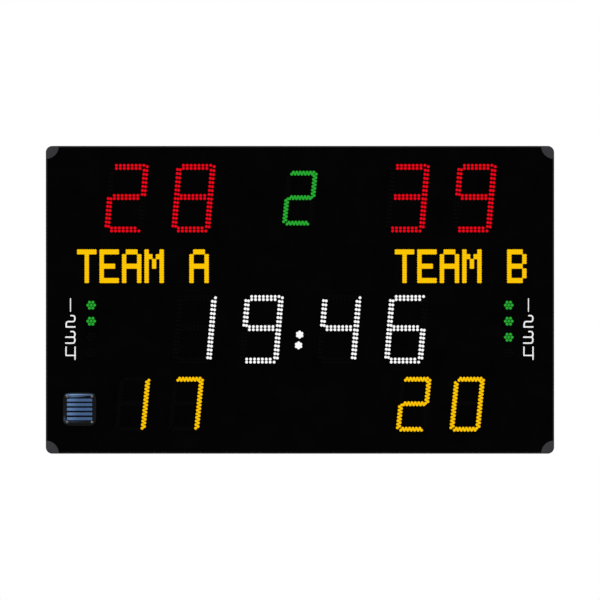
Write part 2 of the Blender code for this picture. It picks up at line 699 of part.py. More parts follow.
def leaf_section(width, way):
    """Hinge leaf in section about the pin: a strip along the knuckle's tangent, and the pin's bore.

    way is -1 for the leaf that runs forward over the door, and 1 for the one that runs back.
    """
    meet = math.degrees(math.acos((KNUCKLE_RADIUS - HINGE_LEAF) / KNUCKLE_RADIUS))
    edge = arc((0.0, 0.0), KNUCKLE_RADIUS, 90.0 + meet, 450.0, 14)
    outline = [(-width, KNUCKLE_RADIUS), (-width, KNUCKLE_RADIUS - HINGE_LEAF), *edge]
    return [[(-way * y, -way * z) for y, z in outline], circle((0.0, 0.0), PIN_BORE_RADIUS, 12)]


def build_hinge(builder, lift, door):
    """Continuous hinge: a leaf on the cabinet, a leaf on the door and the pin through both."""
    pitch = HINGE_LENGTH / HINGE_KNUCKLES
    reach = KNUCKLE_RADIUS + KNUCKLE_GAP
    door_width = HINGE_Y - (DOOR_FRONT_Y + REBATE_START_DEPTH + CLEARANCE)
    leaves = (("hinge_leaf_cabinet", CABINET_LEAF_WIDTH, 1, 0, lift),
              ("hinge_leaf_door", door_width, -1, 1, door))
    for name, width, way, own, parent in leaves:
        mesh = plate_mesh(name, leaf_section(width, way), HINGE_LENGTH)
        piece = builder.add(name, mesh, "bright_steel", (0.0, HINGE_Y, HINGE_Z), ACROSS, parent)
        gaps = []
        for index in range(HINGE_KNUCKLES):
            if index % 2 != own:
                start = -HINGE_LENGTH / 2 + index * pitch - KNUCKLE_GAP / 2
                end = start + pitch + KNUCKLE_GAP
                gaps.append(((start, HINGE_Y - reach, HINGE_Z - reach),
                             (end, HINGE_Y + reach, HINGE_Z + reach)))
        builder.cut(piece, joined_boxes(name + "_gaps", gaps))
    ends = (-HINGE_LENGTH / 2, HINGE_Y, HINGE_Z), (HINGE_LENGTH / 2, HINGE_Y, HINGE_Z)
    pin = rod_mesh("hinge_pin", HINGE_PIN_RADIUS, *ends, 16)
    builder.add("hinge_pin", pin, "bright_steel", parent=lift)


def rim_section(edge, inward, wall=PROFILE_WALL, hinged=False):
    """Door profile in section: outer wall, front lip, inner lip behind the sheet and back flange.

    The points are (distance across, y), and a hinged profile has a rebate for the leaf outside.
    """
    lip = PROFILE_LIP_THICKNESS
    section = [(0.0, 0.0), (PROFILE_FRONT_LIP, 0.0), (PROFILE_FRONT_LIP, lip), (PROFILE_WALL, lip),
               (PROFILE_WALL, INNER_LIP_DEPTH), (PROFILE_INNER_LIP, INNER_LIP_DEPTH),
               (PROFILE_INNER_LIP, INNER_LIP_DEPTH + lip), (wall, INNER_LIP_DEPTH + lip),
               (wall, DOOR_DEPTH - lip), (CORNER_PIECE_RADIUS, DOOR_DEPTH - lip),
               (CORNER_PIECE_RADIUS, DOOR_DEPTH)]
    if hinged:
        rebate = HINGE_LEAF + CLEARANCE
        section += [(rebate, DOOR_DEPTH), (rebate, REBATE_START_DEPTH), (0.0, REBATE_START_DEPTH)]
    else:
        section.append((0.0, DOOR_DEPTH))
    return [(edge + inward * across, DOOR_FRONT_Y + depth) for across, depth in section]


def build_rim(builder, door):
    """Four extruded profiles round the door, cut square where the corner pieces sit."""
    length = BOARD_WIDTH - 2 * (CORNER_PIECE_RADIUS + CLEARANCE)
    height = BOARD_HEIGHT - 2 * (CORNER_PIECE_RADIUS + CLEARANCE)
    top = [(y, z) for z, y in rim_section(TOP_Z, -1, HINGE_WALL, True)]
    bottom = [(y, z) for z, y in rim_section(BOTTOM_Z, 1)]
    for name, section in (("door_top", top), ("door_bottom", bottom)):
        mesh = plate_mesh(name, [section], length)
        builder.add(name, mesh, "black_profile", turn=ACROSS, parent=door)
    for name, side in (("door_left", -1), ("door_right", 1)):
        mesh = plate_mesh(name, [rim_section(side * HALF_WIDTH, -side)], height)
        builder.add(name, mesh, "black_profile", (0.0, 0.0, MIDDLE_Z), LEVEL, door)


def corner_outline(side, up, inset, radius):
    """Quarter disc about a corner of the board, cut by the board's own edges and rounded corner."""
    reach = math.sqrt(radius ** 2 - inset ** 2)
    start = math.degrees(math.asin(inset / radius))
    rounding = BOARD_CORNER_RADIUS
    points = [(inset, reach), *arc((rounding, rounding), rounding - inset, 180.0, 270.0, 8)]
    points += arc((0.0, 0.0), radius, start, 90.0 - start, 14)[:-1]
    edge = TOP_Z if up > 0 else BOTTOM_Z
    return [(side * (HALF_WIDTH - across), edge - up * down) for across, down in points]


def build_corner_pieces(builder, door):
    """Moulded corner pieces: they cap the sheet's corners and key into the hollow profiles."""
    slot = rounded_rectangle((0.0, MIDDLE_Z), BOARD_WIDTH - 2 * PROFILE_WALL,
                             BOARD_HEIGHT - 2 * PROFILE_WALL, BOARD_CORNER_RADIUS - PROFILE_WALL, 8)
    slot_start = PROFILE_LIP_THICKNESS
    slot_depth = INNER_LIP_DEPTH - slot_start
    pocket_start = INNER_LIP_DEPTH + CORNER_POCKET_FLOOR
    key_near = CORNER_PIECE_RADIUS - CORNER_POCKET_WALL - OVERLAP
    key_far = CORNER_PIECE_RADIUS + CORNER_KEY_LENGTH
    key_front_y = DOOR_FRONT_Y + INNER_LIP_DEPTH + PROFILE_LIP_THICKNESS + CLEARANCE
    key_back_y = DOOR_BACK_Y - PROFILE_LIP_THICKNESS - CLEARANCE
    for name, side, up in (("corner_top_left", -1, 1), ("corner_top_right", 1, 1),
                           ("corner_bottom_left", -1, -1), ("corner_bottom_right", 1, -1)):
        depth = DOOR_DEPTH + CORNER_PIECE_PROUD
        mesh = plate_mesh(name, [corner_outline(side, up, 0.0, CORNER_PIECE_RADIUS)], depth)
        middle = DOOR_BACK_Y - depth / 2
        piece = builder.add(name, mesh, "corner_plastic", (0.0, middle, 0.0), UPRIGHT, door)
        builder.cut(piece, plate_mesh(name + "_slot", [slot], slot_depth),
                    (0.0, DOOR_FRONT_Y + slot_start + slot_depth / 2, 0.0), UPRIGHT)
        pocket = corner_outline(side, up, CORNER_POCKET_WALL, CORNER_PIECE_RADIUS - CORNER_POCKET_WALL)
        builder.cut(piece, plate_mesh(name + "_pocket", [pocket], DOOR_DEPTH),
                    (0.0, DOOR_FRONT_Y + pocket_start + DOOR_DEPTH / 2, 0.0), UPRIGHT)
        edge = TOP_Z if up > 0 else BOTTOM_Z
        wall = HINGE_WALL if up > 0 else PROFILE_WALL
        for across, along in ((wall, "x"), (PROFILE_WALL, "z")):
            span = (across + CLEARANCE, across + CLEARANCE + CORNER_KEY_WIDTH)
            x_span, z_span = ((key_near, key_far), span) if along == "x" else (span, (key_near, key_far))
            xs = sorted(side * (HALF_WIDTH - value) for value in x_span)
            zs = sorted(edge - up * value for value in z_span)
            key = box_mesh(name + "_key", (xs[0], key_front_y, zs[0]), (xs[1], key_back_y, zs[1]))
            builder.join(piece, key)


def segment_outlines(centre, width, height, bar, slant):
    """The seven bars of a leaning digit, by letter, as outlines about its centre."""
    side, top, gap = width / 2, height / 2, SEGMENT_GAP
    shapes = {
        "a": [(gap - side, top), (side - gap, top), (side - bar - gap, top - bar),
              (bar + gap - side, top - bar)],
        "b": [(side, top - gap), (side - bar, top - bar - gap), (side - bar, bar / 2 + gap),
              (side - bar / 2, gap), (side, gap)],
        "g": [(bar / 2 + gap - side, 0.0), (bar + gap - side, bar / 2), (side - bar - gap, bar / 2),
              (side - bar / 2 - gap, 0.0), (side - bar - gap, -bar / 2), (bar + gap - side, -bar / 2)],
    }
    shapes["c"] = [(x, -z) for x, z in shapes["b"]]
    shapes["d"] = [(x, -z) for x, z in shapes["a"]]
    shapes["e"] = [(-x, -z) for x, z in shapes["b"]]
    shapes["f"] = [(-x, z) for x, z in shapes["b"]]
    return {letter: [(centre[0] + x + z * slant, centre[1] + z) for x, z in shape]
            for letter, shape in shapes.items()}


class Display:
    """One lamp board: its node's name, its lamp finish and the outlines of lit and unlit lamps."""

    def __init__(self, name, finish):
        self.name = name
        self.finish = finish
        self.lit = []
        self.dark = []

    def add_digits(self, text, centres, size, bar, slant):
        """Add one digit of text at each centre; size is a digit's width and height."""
        for character, centre in zip(text, centres):
            for letter, outline in segment_outlines(centre, *size, bar, slant).items():
                (self.lit if letter in SEGMENTS_OF[character] else self.dark).append(outline)

    def window(self):
        """Centre, width and height of the window in the face sheet that shows every lamp."""
        points = [point for outline in self.lit + self.dark for point in outline]
        xs, zs = [point[0] for point in points], [point[1] for point in points]
        centre = ((min(xs) + max(xs)) / 2, (min(zs) + max(zs)) / 2)
        return centre, max(xs) - min(xs) + 2 * WINDOW_MARGIN, max(zs) - min(zs) + 2 * WINDOW_MARGIN


def large_display(name, finish, text, xs, z):
    """Display of large digits at the given x positions."""
    display = Display(name, finish)
    size = (LARGE_DIGIT_WIDTH, LARGE_DIGIT_HEIGHT)
    display.add_digits(text, [(x, z) for x in xs], size, SEGMENT_WIDTH, LARGE_DIGIT_SLANT)
    return display


def small_display(name, finish, text, xs, z):
    """Display of small digits at the given x positions."""
    display = Display(name, finish)
    size = (SMALL_DIGIT_WIDTH, SMALL_DIGIT_HEIGHT)
    display.add_digits(text, [(x, z) for x in xs], size, SMALL_SEGMENT_WIDTH, SMALL_DIGIT_SLANT)
    return display


def name_display(name, middle_x):
    """Row of dot-matrix letters, one block of lamps a letter."""
    display = Display(name, "lamp_amber")
    for index in range(NAME_LETTERS):
        x = middle_x + (index - (NAME_LETTERS - 1) / 2) * NAME_LETTER_PITCH
        display.lit.append(rectangle((x, NAME_Z), NAME_LETTER_WIDTH, NAME_HEIGHT))
    return display


def timeout_display(name, x, lit):
    """Column of round lamp clusters, lit from the top."""
    display = Display(name, "lamp_green")
    for index in range(LAMP_COUNT):
        cluster = circle((x, FIRST_LAMP_Z - index * LAMP_PITCH), LAMP_CLUSTER_RADIUS, 12)
        (display.lit if index < lit else display.dark).append(cluster)
    return display


def all_displays():
    """Every lamp board on the door, laid out as the photograph shows."""
    half = LARGE_DIGIT_PITCH / 2
    clock = large_display("clock_board", "lamp_white", CLOCK_TIME,
                          (-CLOCK_OUTER_X, -CLOCK_INNER_X, CLOCK_INNER_X, CLOCK_OUTER_X), CLOCK_Z)
    for drop in (COLON_UPPER_DROP, COLON_LOWER_DROP):
        clock.lit.append(circle((COLON_X, CLOCK_Z - drop), COLON_RADIUS, 12))
    home = SCORE_HOME_FROM_EDGE - HALF_WIDTH
    guest = HALF_WIDTH - SCORE_GUEST_FROM_EDGE
    penalty = HALF_WIDTH - PENALTY_FROM_EDGE
    small_half = SMALL_DIGIT_PITCH / 2
    lamps_x = HALF_WIDTH - LAMPS_FROM_EDGE
    return [
        large_display("score_board_home", "lamp_red", HOME_SCORE, (home - half, home + half), SCORE_Z),
        large_display("score_board_guest", "lamp_red", GUEST_SCORE, (guest - half, guest + half), SCORE_Z),
        clock,
        small_display("period_board", "lamp_green", PERIOD, (0.0,), PERIOD_Z),
        small_display("penalty_board_left", "lamp_amber", HOME_PENALTY,
                      (-penalty - small_half, -penalty + small_half), PENALTY_Z),
        small_display("penalty_board_right", "lamp_amber", GUEST_PENALTY,
                      (penalty - small_half, penalty + small_half), PENALTY_Z),
        name_display("name_board_left", NAME_LEFT_FROM_EDGE - HALF_WIDTH),
        name_display("name_board_right", HALF_WIDTH - NAME_RIGHT_FROM_EDGE),
        timeout_display("timeout_board_left", -lamps_x, HOME_TIMEOUTS),
        timeout_display("timeout_board_right", lamps_x, GUEST_TIMEOUTS),
    ]


def build_face_sheet(builder, door, displays):
    """Black face sheet with a window for each lamp board, the horn's hole and its screw holes."""
    outlines = [rounded_rectangle((0.0, MIDDLE_Z), BOARD_WIDTH - 2 * SHEET_INSET,
                                  BOARD_HEIGHT - 2 * SHEET_INSET, BOARD_CORNER_RADIUS - SHEET_INSET, 8)]
    outlines += [rectangle(*display.window()) for display in displays]
    horn = (HORN_X, HORN_Z)
    outlines.append(circle(horn, DRIVER_MOUTH_RADIUS, 24))
    outlines += [circle(screw, SCREW_RADIUS + CLEARANCE, 10) for screw in grille_screws(horn)]
    mesh = plate_mesh("face_sheet", outlines, FACE_SHEET)
    builder.add("face_sheet", mesh, "black_sheet",
                (0.0, DOOR_FRONT_Y + SHEET_FRONT_DEPTH + FACE_SHEET / 2, 0.0), UPRIGHT, door)


def build_display(builder, door, display):
    """Lamp board: a plug in the window, raised lamps, a wider circuit board and its connector."""
    centre, width, height = display.window()
    board_front = DOOR_FRONT_Y + INNER_LIP_DEPTH
    board_back = board_front + CIRCUIT_BOARD
    plug_front = DOOR_FRONT_Y + SHEET_FRONT_DEPTH + BOARD_PLUG_SETBACK

    def block(name, block_width, block_height, front, back):
        """Box about the window's centre."""
        x, z = centre
        return box_mesh(name, (x - block_width / 2, front, z - block_height / 2),
                        (x + block_width / 2, back, z + block_height / 2))

    mesh = block(display.name, width + 2 * BOARD_FLANGE, height + 2 * BOARD_FLANGE, board_front, board_back)
    piece = builder.add(display.name, mesh, "lamp_off", parent=door)
    builder.join(piece, block(display.name + "_plug", width - 2 * CLEARANCE, height - 2 * CLEARANCE,
                              plug_front, board_front + OVERLAP))
    for outlines, finish in ((display.lit, display.finish), (display.dark, "lamp_off")):
        if outlines:
            depth = LAMP_RISE + OVERLAP
            lamps = plate_mesh(f"{display.name}_{finish}", outlines, depth)
            place = (0.0, plug_front - LAMP_RISE + depth / 2, 0.0)
            builder.join(piece, lamps, place, UPRIGHT, finish)
    connector_width = min(CONNECTOR_SIZE[0], width)
    builder.join(piece, block(display.name + "_connector", connector_width, CONNECTOR_SIZE[1],
                              board_back - OVERLAP, board_back + CONNECTOR_HEIGHT))


def grille_screws(centre):
    """Centres of the four screws of a horn grille whose own centre is given."""
    return [(centre[0] + x * GRILLE_SCREW_X, centre[1] + z * GRILLE_SCREW_Z)
            for z in (1, -1) for x in (-1, 1)]


def bulged_outline(centre, width, height, radius, bulge):
    """Square outline with round corners and sides that bow outwards by bulge."""
    half_x, half_z = width / 2 - bulge, height / 2 - bulge
    points = []
    for turn in range(4):
        across, along = (half_x, half_z) if turn % 2 == 0 else (half_z, half_x)
        angle = math.radians(90.0 * turn)
        side = [(across + bulge * (1.0 - t * t), t * (along - radius)) for t in (-0.8, -0.4, 0.0, 0.4, 0.8)]
        side += arc((across - radius, along - radius), radius, 0.0, 90.0, 4)
        points += [(centre[0] + x * math.cos(angle) - z * math.sin(angle),
                    centre[1] + x * math.sin(angle) + z * math.cos(angle)) for x, z in side]
    return points


def build_horn(builder, door):
    """Horn grille with sloping slats on the face sheet, its four screws and the driver behind.

    Outlines are drawn about the horn's own middle, and the pieces are then placed at the horn.
    """
    centre = (0.0, 0.0)
    back = DOOR_FRONT_Y + SHEET_FRONT_DEPTH - CLEARANCE
    front = back - GRILLE_DEPTH
    outer = bulged_outline(centre, GRILLE_WIDTH, GRILLE_HEIGHT, GRILLE_CORNER_RADIUS, GRILLE_BULGE)
    opening = rectangle(centre, GRILLE_OPENING_WIDTH, GRILLE_OPENING_HEIGHT)
    holes = [circle(screw, SCREW_RADIUS + CLEARANCE, 10) for screw in grille_screws(centre)]
    mesh = plate_mesh("horn_grille", [outer, opening, *holes], GRILLE_DEPTH)
    place = (HORN_X, (front + back) / 2, HORN_Z)
    grille = builder.add("horn_grille", mesh, "grille_plastic", place, UPRIGHT, door)
    slats = []
    for index in range(SLAT_COUNT):
        low = centre[1] + (index - (SLAT_COUNT - 1) / 2) * SLAT_PITCH - SLAT_HEIGHT / 2
        high = low + SLAT_HEIGHT
        slats.append([(front + SLAT_SETBACK, low), (back - SLAT_SETBACK, high - SLAT_THICKNESS),
                      (back - SLAT_SETBACK, high), (front + SLAT_SETBACK, low + SLAT_THICKNESS)])
    length = GRILLE_OPENING_WIDTH + SLAT_THICKNESS
    builder.join(grille, plate_mesh("horn_slats", slats, length), (HORN_X, 0.0, HORN_Z), ACROSS)

    seat = front - CLEARANCE
    shank = DOOR_FRONT_Y + SCREW_END_DEPTH - seat
    profile = [(0.0, SCREW_HEAD_HEIGHT), (SCREW_FACE_RADIUS, SCREW_HEAD_HEIGHT),
               (SCREW_HEAD_RADIUS, SCREW_RIM_HEIGHT), (SCREW_HEAD_RADIUS, 0.0), (SCREW_RADIUS, 0.0),
               (SCREW_RADIUS, -shank), (0.0, -shank)]
    for index, (x, z) in enumerate(grille_screws((HORN_X, HORN_Z)), start=1):
        name = f"grille_screw_{index}"
        builder.add(name, turned_mesh(name, profile, 12), "zinc_steel", (x, seat, z), UPRIGHT, door)

    plate_front = DOOR_FRONT_Y + INNER_LIP_DEPTH
    plate_back = plate_front + DRIVER_PLATE
    outer = rounded_rectangle(centre, DRIVER_PLATE_SIZE, DRIVER_PLATE_SIZE, GRILLE_CORNER_RADIUS, 3)
    mesh = plate_mesh("horn_driver", [outer, *holes], DRIVER_PLATE)
    driver = builder.add("horn_driver", mesh, "driver_metal",
                         (HORN_X, (plate_front + plate_back) / 2, HORN_Z), UPRIGHT, door)
    can, mouth = DRIVER_CAN_RADIUS, DRIVER_MOUTH_RADIUS
    body = [(0.0, OVERLAP), (mouth + DRIVER_PLATE, OVERLAP), (mouth + DRIVER_PLATE, -DRIVER_DEPTH / 8),
            (can, -DRIVER_DEPTH / 2), (can, -DRIVER_DEPTH + DRIVER_PLATE),
            (can - DRIVER_PLATE, -DRIVER_DEPTH), (0.0, -DRIVER_DEPTH)]
    builder.join(driver, turned_mesh("horn_can", body, 24), (HORN_X, plate_back, HORN_Z), UPRIGHT)
    cone = rod_mesh("horn_cone", mouth, (HORN_X, plate_front - OVERLAP, HORN_Z),
                    (HORN_X, plate_front + DRIVER_DEPTH / 2, HORN_Z), 24, DRIVER_THROAT_RADIUS)
    builder.cut(driver, cone)


def build_stays(builder, lift, door):
    """On each side a guide on the cabinet, a bracket on the door and the arm that joins them."""
    for word, side in (("left", -1), ("right", 1)):
        build_guide(builder, lift, word, side)
        build_bracket(builder, door, word, side)
        build_arm(builder, door, word, side)


def build_guide(builder, lift, word, side):
    """Upright channel on the cabinet's side, with a slot for the arm's roller in its inner wall."""
    name = f"guide_rail_{word}"
    inner_x, outer_x = GUIDE_INNER_X + SHEET_METAL, GUIDE_INNER_X + GUIDE_WIDTH
    front, rear = HINGE_Y - GUIDE_FRONT, HINGE_Y + GUIDE_REAR
    section = [(GUIDE_INNER_X, front), (inner_x, front), (inner_x, rear - SHEET_METAL),
               (outer_x - SHEET_METAL, rear - SHEET_METAL), (outer_x - SHEET_METAL, front),
               (outer_x, front), (outer_x, rear), (GUIDE_INNER_X, rear)]
    low, high = STAY_ROLLER_Z - GUIDE_END, STAY_ROLLER_OPEN_Z + GUIDE_END
    mesh = plate_mesh(name, [[(side * x, y) for x, y in section]], high - low)
    guide = builder.add(name, mesh, "zinc_steel", (0.0, 0.0, (low + high) / 2), LEVEL, lift)
    reach = ROLLER_RADIUS + CLEARANCE
    xs = sorted((side * (GUIDE_INNER_X - SHEET_METAL), side * (GUIDE_INNER_X + 2 * SHEET_METAL)))
    builder.cut(guide, box_mesh(name + "_slot", (xs[0], HINGE_Y - reach, STAY_ROLLER_Z - reach),
                                (xs[1], HINGE_Y + reach, STAY_ROLLER_OPEN_Z + reach)))


def build_bracket(builder, door, word, side):
    """Bracket on the door's back flange, whose ear carries the arm's pivot pin."""
    name = f"stay_bracket_{word}"
    back = DOOR_BACK_Y + CLEARANCE
    outer_x = EAR_OUTER_X - OVERLAP
    xs = sorted((side * (outer_x - BRACKET_PLATE_WIDTH), side * outer_x))
    mesh = box_mesh(name, (xs[0], back, STAY_PIVOT_Z - BRACKET_PLATE_HALF_HEIGHT),
                    (xs[1], back + BRACKET_PLATE, STAY_PIVOT_Z + BRACKET_PLATE_HALF_HEIGHT))
    bracket = builder.add(name, mesh, "zinc_steel", parent=door)
    foot = back + BRACKET_PLATE / 2
    ear = [(foot, STAY_PIVOT_Z + BRACKET_EAR_HALF_HEIGHT), (foot, STAY_PIVOT_Z - BRACKET_EAR_HALF_HEIGHT)]
    ear += arc((HINGE_Y, STAY_PIVOT_Z), STAY_RADIUS, -60.0, 60.0, 8)
    builder.join(bracket, plate_mesh(name + "_ear", [ear], STAY_THICKNESS),
                 (side * (EAR_INNER_X + EAR_OUTER_X) / 2, 0.0, 0.0), ACROSS)
    pin = rod_mesh(name + "_pin", STAY_PIN_RADIUS, (side * (EAR_INNER_X + OVERLAP), HINGE_Y, STAY_PIVOT_Z),
                   (side * (ARM_OUTER_X + CLEARANCE), HINGE_Y, STAY_PIVOT_Z), 16)
    builder.join(bracket, pin)


def build_arm(builder, door, word, side):
    """Flat arm with a bore for the bracket's pin, and the headed roller that runs in the guide."""
    name = f"stay_arm_{word}"
    outline = arc((0.0, 0.0), STAY_RADIUS, 0.0, 180.0, 8)
    outline += arc((0.0, -STAY_LENGTH), STAY_RADIUS, 180.0, 360.0, 8)
    bore = circle((0.0, 0.0), STAY_PIN_RADIUS + CLEARANCE, 12)
    mesh = plate_mesh(name, [outline, bore], STAY_THICKNESS)
    middle_x = side * (ARM_INNER_X + ARM_OUTER_X) / 2
    arm = builder.add(name, mesh, "bright_steel", (middle_x, HINGE_Y, STAY_PIVOT_Z), ACROSS, door)
    head_start = GUIDE_INNER_X + SHEET_METAL + 2 * CLEARANCE
    spans = ((ROLLER_RADIUS, ARM_OUTER_X - OVERLAP, head_start + OVERLAP),
             (ROLLER_HEAD_RADIUS, head_start, head_start + ROLLER_HEAD))
    for radius, start, end in spans:
        builder.join(arm, rod_mesh(name + "_roller", radius, (side * start, HINGE_Y, STAY_ROLLER_Z),
                                   (side * end, HINGE_Y, STAY_ROLLER_Z), 16))


def build_locks(builder, lift, door, floor):
    """Two quarter-turn locks through the cabinet's bottom, and their strikes on the door."""
    shaft = BARREL_RADIUS + CLEARANCE
    head = BARREL_HEAD_RADIUS + CLEARANCE
    nut_start = SHEET_METAL + CLEARANCE
    nut_end = nut_start + LOCK_NUT
    top = SHEET_METAL + LOCK_BODY_HEIGHT
    flange_low = -CLEARANCE - LOCK_FLANGE
    recess = flange_low + BARREL_HEAD + CLEARANCE
    housing = [(shaft, top), (LOCK_BODY_RADIUS, top), (LOCK_BODY_RADIUS, nut_end),
               (LOCK_NUT_RADIUS, nut_end), (LOCK_NUT_RADIUS, nut_start),
               (LOCK_BODY_RADIUS, nut_start), (LOCK_BODY_RADIUS, -CLEARANCE),
               (LOCK_FLANGE_RADIUS, -CLEARANCE), (LOCK_FLANGE_RADIUS, flange_low), (head, flange_low),
               (head, recess), (shaft, recess), (shaft, top)]
    for word, side in (("left", -1), ("right", 1)):
        x = side * LOCK_X
        name = f"lock_housing_{word}"
        place = (x, LOCK_Y, CABINET_BOTTOM_Z)
        builder.add(name, turned_mesh(name, housing, 20), "zinc_steel", place, LEVEL, lift)
        drill_hole(builder, floor, x, LOCK_Y, LOCK_BODY_RADIUS + CLEARANCE)
        build_cam(builder, lift, word, x)
        build_strike(builder, door, word, side)


def drill_hole(builder, floor, x, y, radius):
    """Round hole through the cabinet's bottom."""
    start = (x, y, CABINET_BOTTOM_Z - SHEET_METAL)
    builder.cut(floor, rod_mesh("floor_drill", radius, start, (x, y, CABINET_FLOOR_Z + SHEET_METAL), 20))


def build_cam(builder, lift, word, x):
    """Lock cam with the barrel that turns it; at rest it points forward, clear of the strike."""
    name = f"lock_cam_{word}"
    hub = CAM_RADIUS + 2 * OVERLAP
    outline = arc((0.0, 0.0), hub, 0.0, 180.0, 8) + arc((0.0, -CAM_LENGTH), CAM_RADIUS, 180.0, 360.0, 8)
    mesh = plate_mesh(name, [outline], CAM_THICKNESS)
    cam = builder.add(name, mesh, "bright_steel", (x, LOCK_Y, CAM_Z + CAM_THICKNESS / 2), LEVEL, lift)
    low = CABINET_BOTTOM_Z - LOCK_FLANGE
    top = CAM_Z + CAM_THICKNESS + OVERLAP - low
    head = BARREL_HEAD - CLEARANCE
    barrel = [(0.0, top), (BARREL_RADIUS, top), (BARREL_RADIUS, head), (BARREL_HEAD_RADIUS, head),
              (BARREL_HEAD_RADIUS, 0.0), (0.0, 0.0)]
    builder.join(cam, turned_mesh(name + "_barrel", barrel, 20), (x, LOCK_Y, low))
    length, width, depth = KEYWAY
    builder.cut(cam, box_mesh(name + "_keyway", (x - length / 2, LOCK_Y - width / 2, low - depth),
                              (x + length / 2, LOCK_Y + width / 2, low + depth)))


def build_strike(builder, door, word, side):
    """Strike on the door's back flange: its tongue passes over the cabinet's lip and hooks up."""
    name = f"lock_strike_{word}"
    back = DOOR_BACK_Y + CLEARANCE
    low = CABINET_BOTTOM_Z + FRONT_LIP + STRIKE_ABOVE_LIP
    hook = LOCK_Y + CAM_RADIUS + STRIKE_HOOK_GAP
    section = [(back, low), (hook + STRIKE_HOOK_METAL, low),
               (hook + STRIKE_HOOK_METAL, low + STRIKE_HOOK), (hook, low + STRIKE_HOOK),
               (hook, low + STRIKE_METAL), (back + STRIKE_METAL, low + STRIKE_METAL),
               (back + STRIKE_METAL, low + STRIKE_HEIGHT), (back, low + STRIKE_HEIGHT)]
    mesh = plate_mesh(name, [section], STRIKE_FAR_X - STRIKE_NEAR_X)
    middle_x = side * LOCK_X - side * (STRIKE_NEAR_X + STRIKE_FAR_X) / 2
    builder.add(name, mesh, "zinc_steel", (middle_x, 0.0, 0.0), ACROSS, door)


def build_glands(builder, lift, floor):
    """Mains and data cable glands through the cabinet's bottom, open right through."""
    y = CABINET_FRONT_Y + GLAND_SETBACK
    bore, thread, cap = GLAND_BORE_RADIUS, GLAND_THREAD_RADIUS, GLAND_CAP_RADIUS
    nut_start = SHEET_METAL + CLEARANCE
    top = SHEET_METAL + GLAND_INNER_REACH
    low = -CLEARANCE - GLAND_CAP
    chamfer = GLAND_CAP / 4
    nut_end = nut_start + GLAND_NUT
    profile = [(bore, top), (thread, top), (thread, nut_end), (cap, nut_end), (cap, nut_start),
               (thread, nut_start), (thread, -CLEARANCE), (cap, -CLEARANCE),
               (cap, low + chamfer), (cap - chamfer, low), (bore, low), (bore, top)]
    for name, x in zip(("mains_gland", "data_gland"), GLAND_X):
        place = (x, y, CABINET_BOTTOM_Z)
        builder.add(name, turned_mesh(name, profile, 20), "gland_nylon", place, LEVEL, lift)
        drill_hole(builder, floor, x, y, thread + CLEARANCE)


def build_rail_devices(builder, lift):
    """DIN rail on the back panel with the breaker, its toggle and the terminal block."""
    back = PANEL_FRONT_Y - CLEARANCE
    metal, brim, crown = DIN_RAIL_METAL, DIN_RAIL_HALF, DIN_CROWN_HALF
    front = back - DIN_RAIL_DEPTH
    upper = [(back, crown), (front + metal, crown), (front + metal, brim), (front, brim),
             (front, crown - metal), (back - metal, crown - metal)]
    lower = [(y, -z) for y, z in reversed(upper)]
    mesh = plate_mesh("din_rail", [upper + lower], DIN_RAIL_LENGTH)
    builder.add("din_rail", mesh, "zinc_steel", (DIN_RAIL_X, 0.0, ELECTRONICS_Z), ACROSS, lift)
    seat = front - CLEARANCE
    build_breaker(builder, lift, seat)
    build_terminals(builder, lift, seat)


def build_breaker(builder, lift, seat):
    """Breaker body with a slotted nose, and the toggle that turns in the slot about its axle."""
    body_y, nose_y = seat - BREAKER_BODY_DEPTH, seat - BREAKER_BODY_DEPTH - BREAKER_NOSE_DEPTH
    upper = [(seat, BREAKER_HALF_HEIGHT), (body_y, BREAKER_HALF_HEIGHT), (body_y, BREAKER_NOSE_HALF),
             (nose_y, BREAKER_NOSE_HALF)]
    lower = [(y, -z) for y, z in reversed(upper)]
    mesh = plate_mesh("breaker_body", [upper + lower], BREAKER_WIDTH)
    body = builder.add("breaker_body", mesh, "device_grey", (BREAKER_X, 0.0, ELECTRONICS_Z), ACROSS, lift)
    pivot_y = nose_y + TOGGLE_HUB_RADIUS + TOGGLE_AXLE_RADIUS
    half = TOGGLE_SLOT_WIDTH / 2
    slot_back = pivot_y + TOGGLE_HUB_RADIUS + OVERLAP
    slot = box_mesh("toggle_slot", (BREAKER_X - half, nose_y - OVERLAP, ELECTRONICS_Z - TOGGLE_SLOT_HALF),
                    (BREAKER_X + half, slot_back, ELECTRONICS_Z + TOGGLE_SLOT_HALF))
    builder.cut(body, slot)

    def axle(name, radius, reach):
        """Rod along the toggle's axis, as far as reach to each side of the breaker's middle."""
        return rod_mesh(name, radius, (BREAKER_X - reach, pivot_y, ELECTRONICS_Z),
                        (BREAKER_X + reach, pivot_y, ELECTRONICS_Z), 12)

    builder.cut(body, axle("toggle_bore", TOGGLE_AXLE_RADIUS + CLEARANCE, BREAKER_WIDTH))

    angle = 180.0 - math.degrees(TOGGLE_REST_ANGLE)
    spread = math.degrees(math.asin(TOGGLE_LEVER / 2 / TOGGLE_HUB_RADIUS))
    outline = arc((0.0, 0.0), TOGGLE_HUB_RADIUS, angle + spread, angle + 360.0 - spread, 14)
    tip_angle = math.degrees(math.asin(TOGGLE_LEVER / 2 / TOGGLE_REACH))
    outline += arc((0.0, 0.0), TOGGLE_REACH, angle - tip_angle, angle + tip_angle, 2)
    mesh = plate_mesh("breaker_toggle", [outline], TOGGLE_SLOT_WIDTH - 2 * CLEARANCE)
    place = (BREAKER_X, pivot_y, ELECTRONICS_Z)
    toggle = builder.add("breaker_toggle", mesh, "device_black", place, ACROSS, lift)
    builder.join(toggle, axle("toggle_axle", TOGGLE_AXLE_RADIUS, BREAKER_WIDTH / 2 - CLEARANCE))


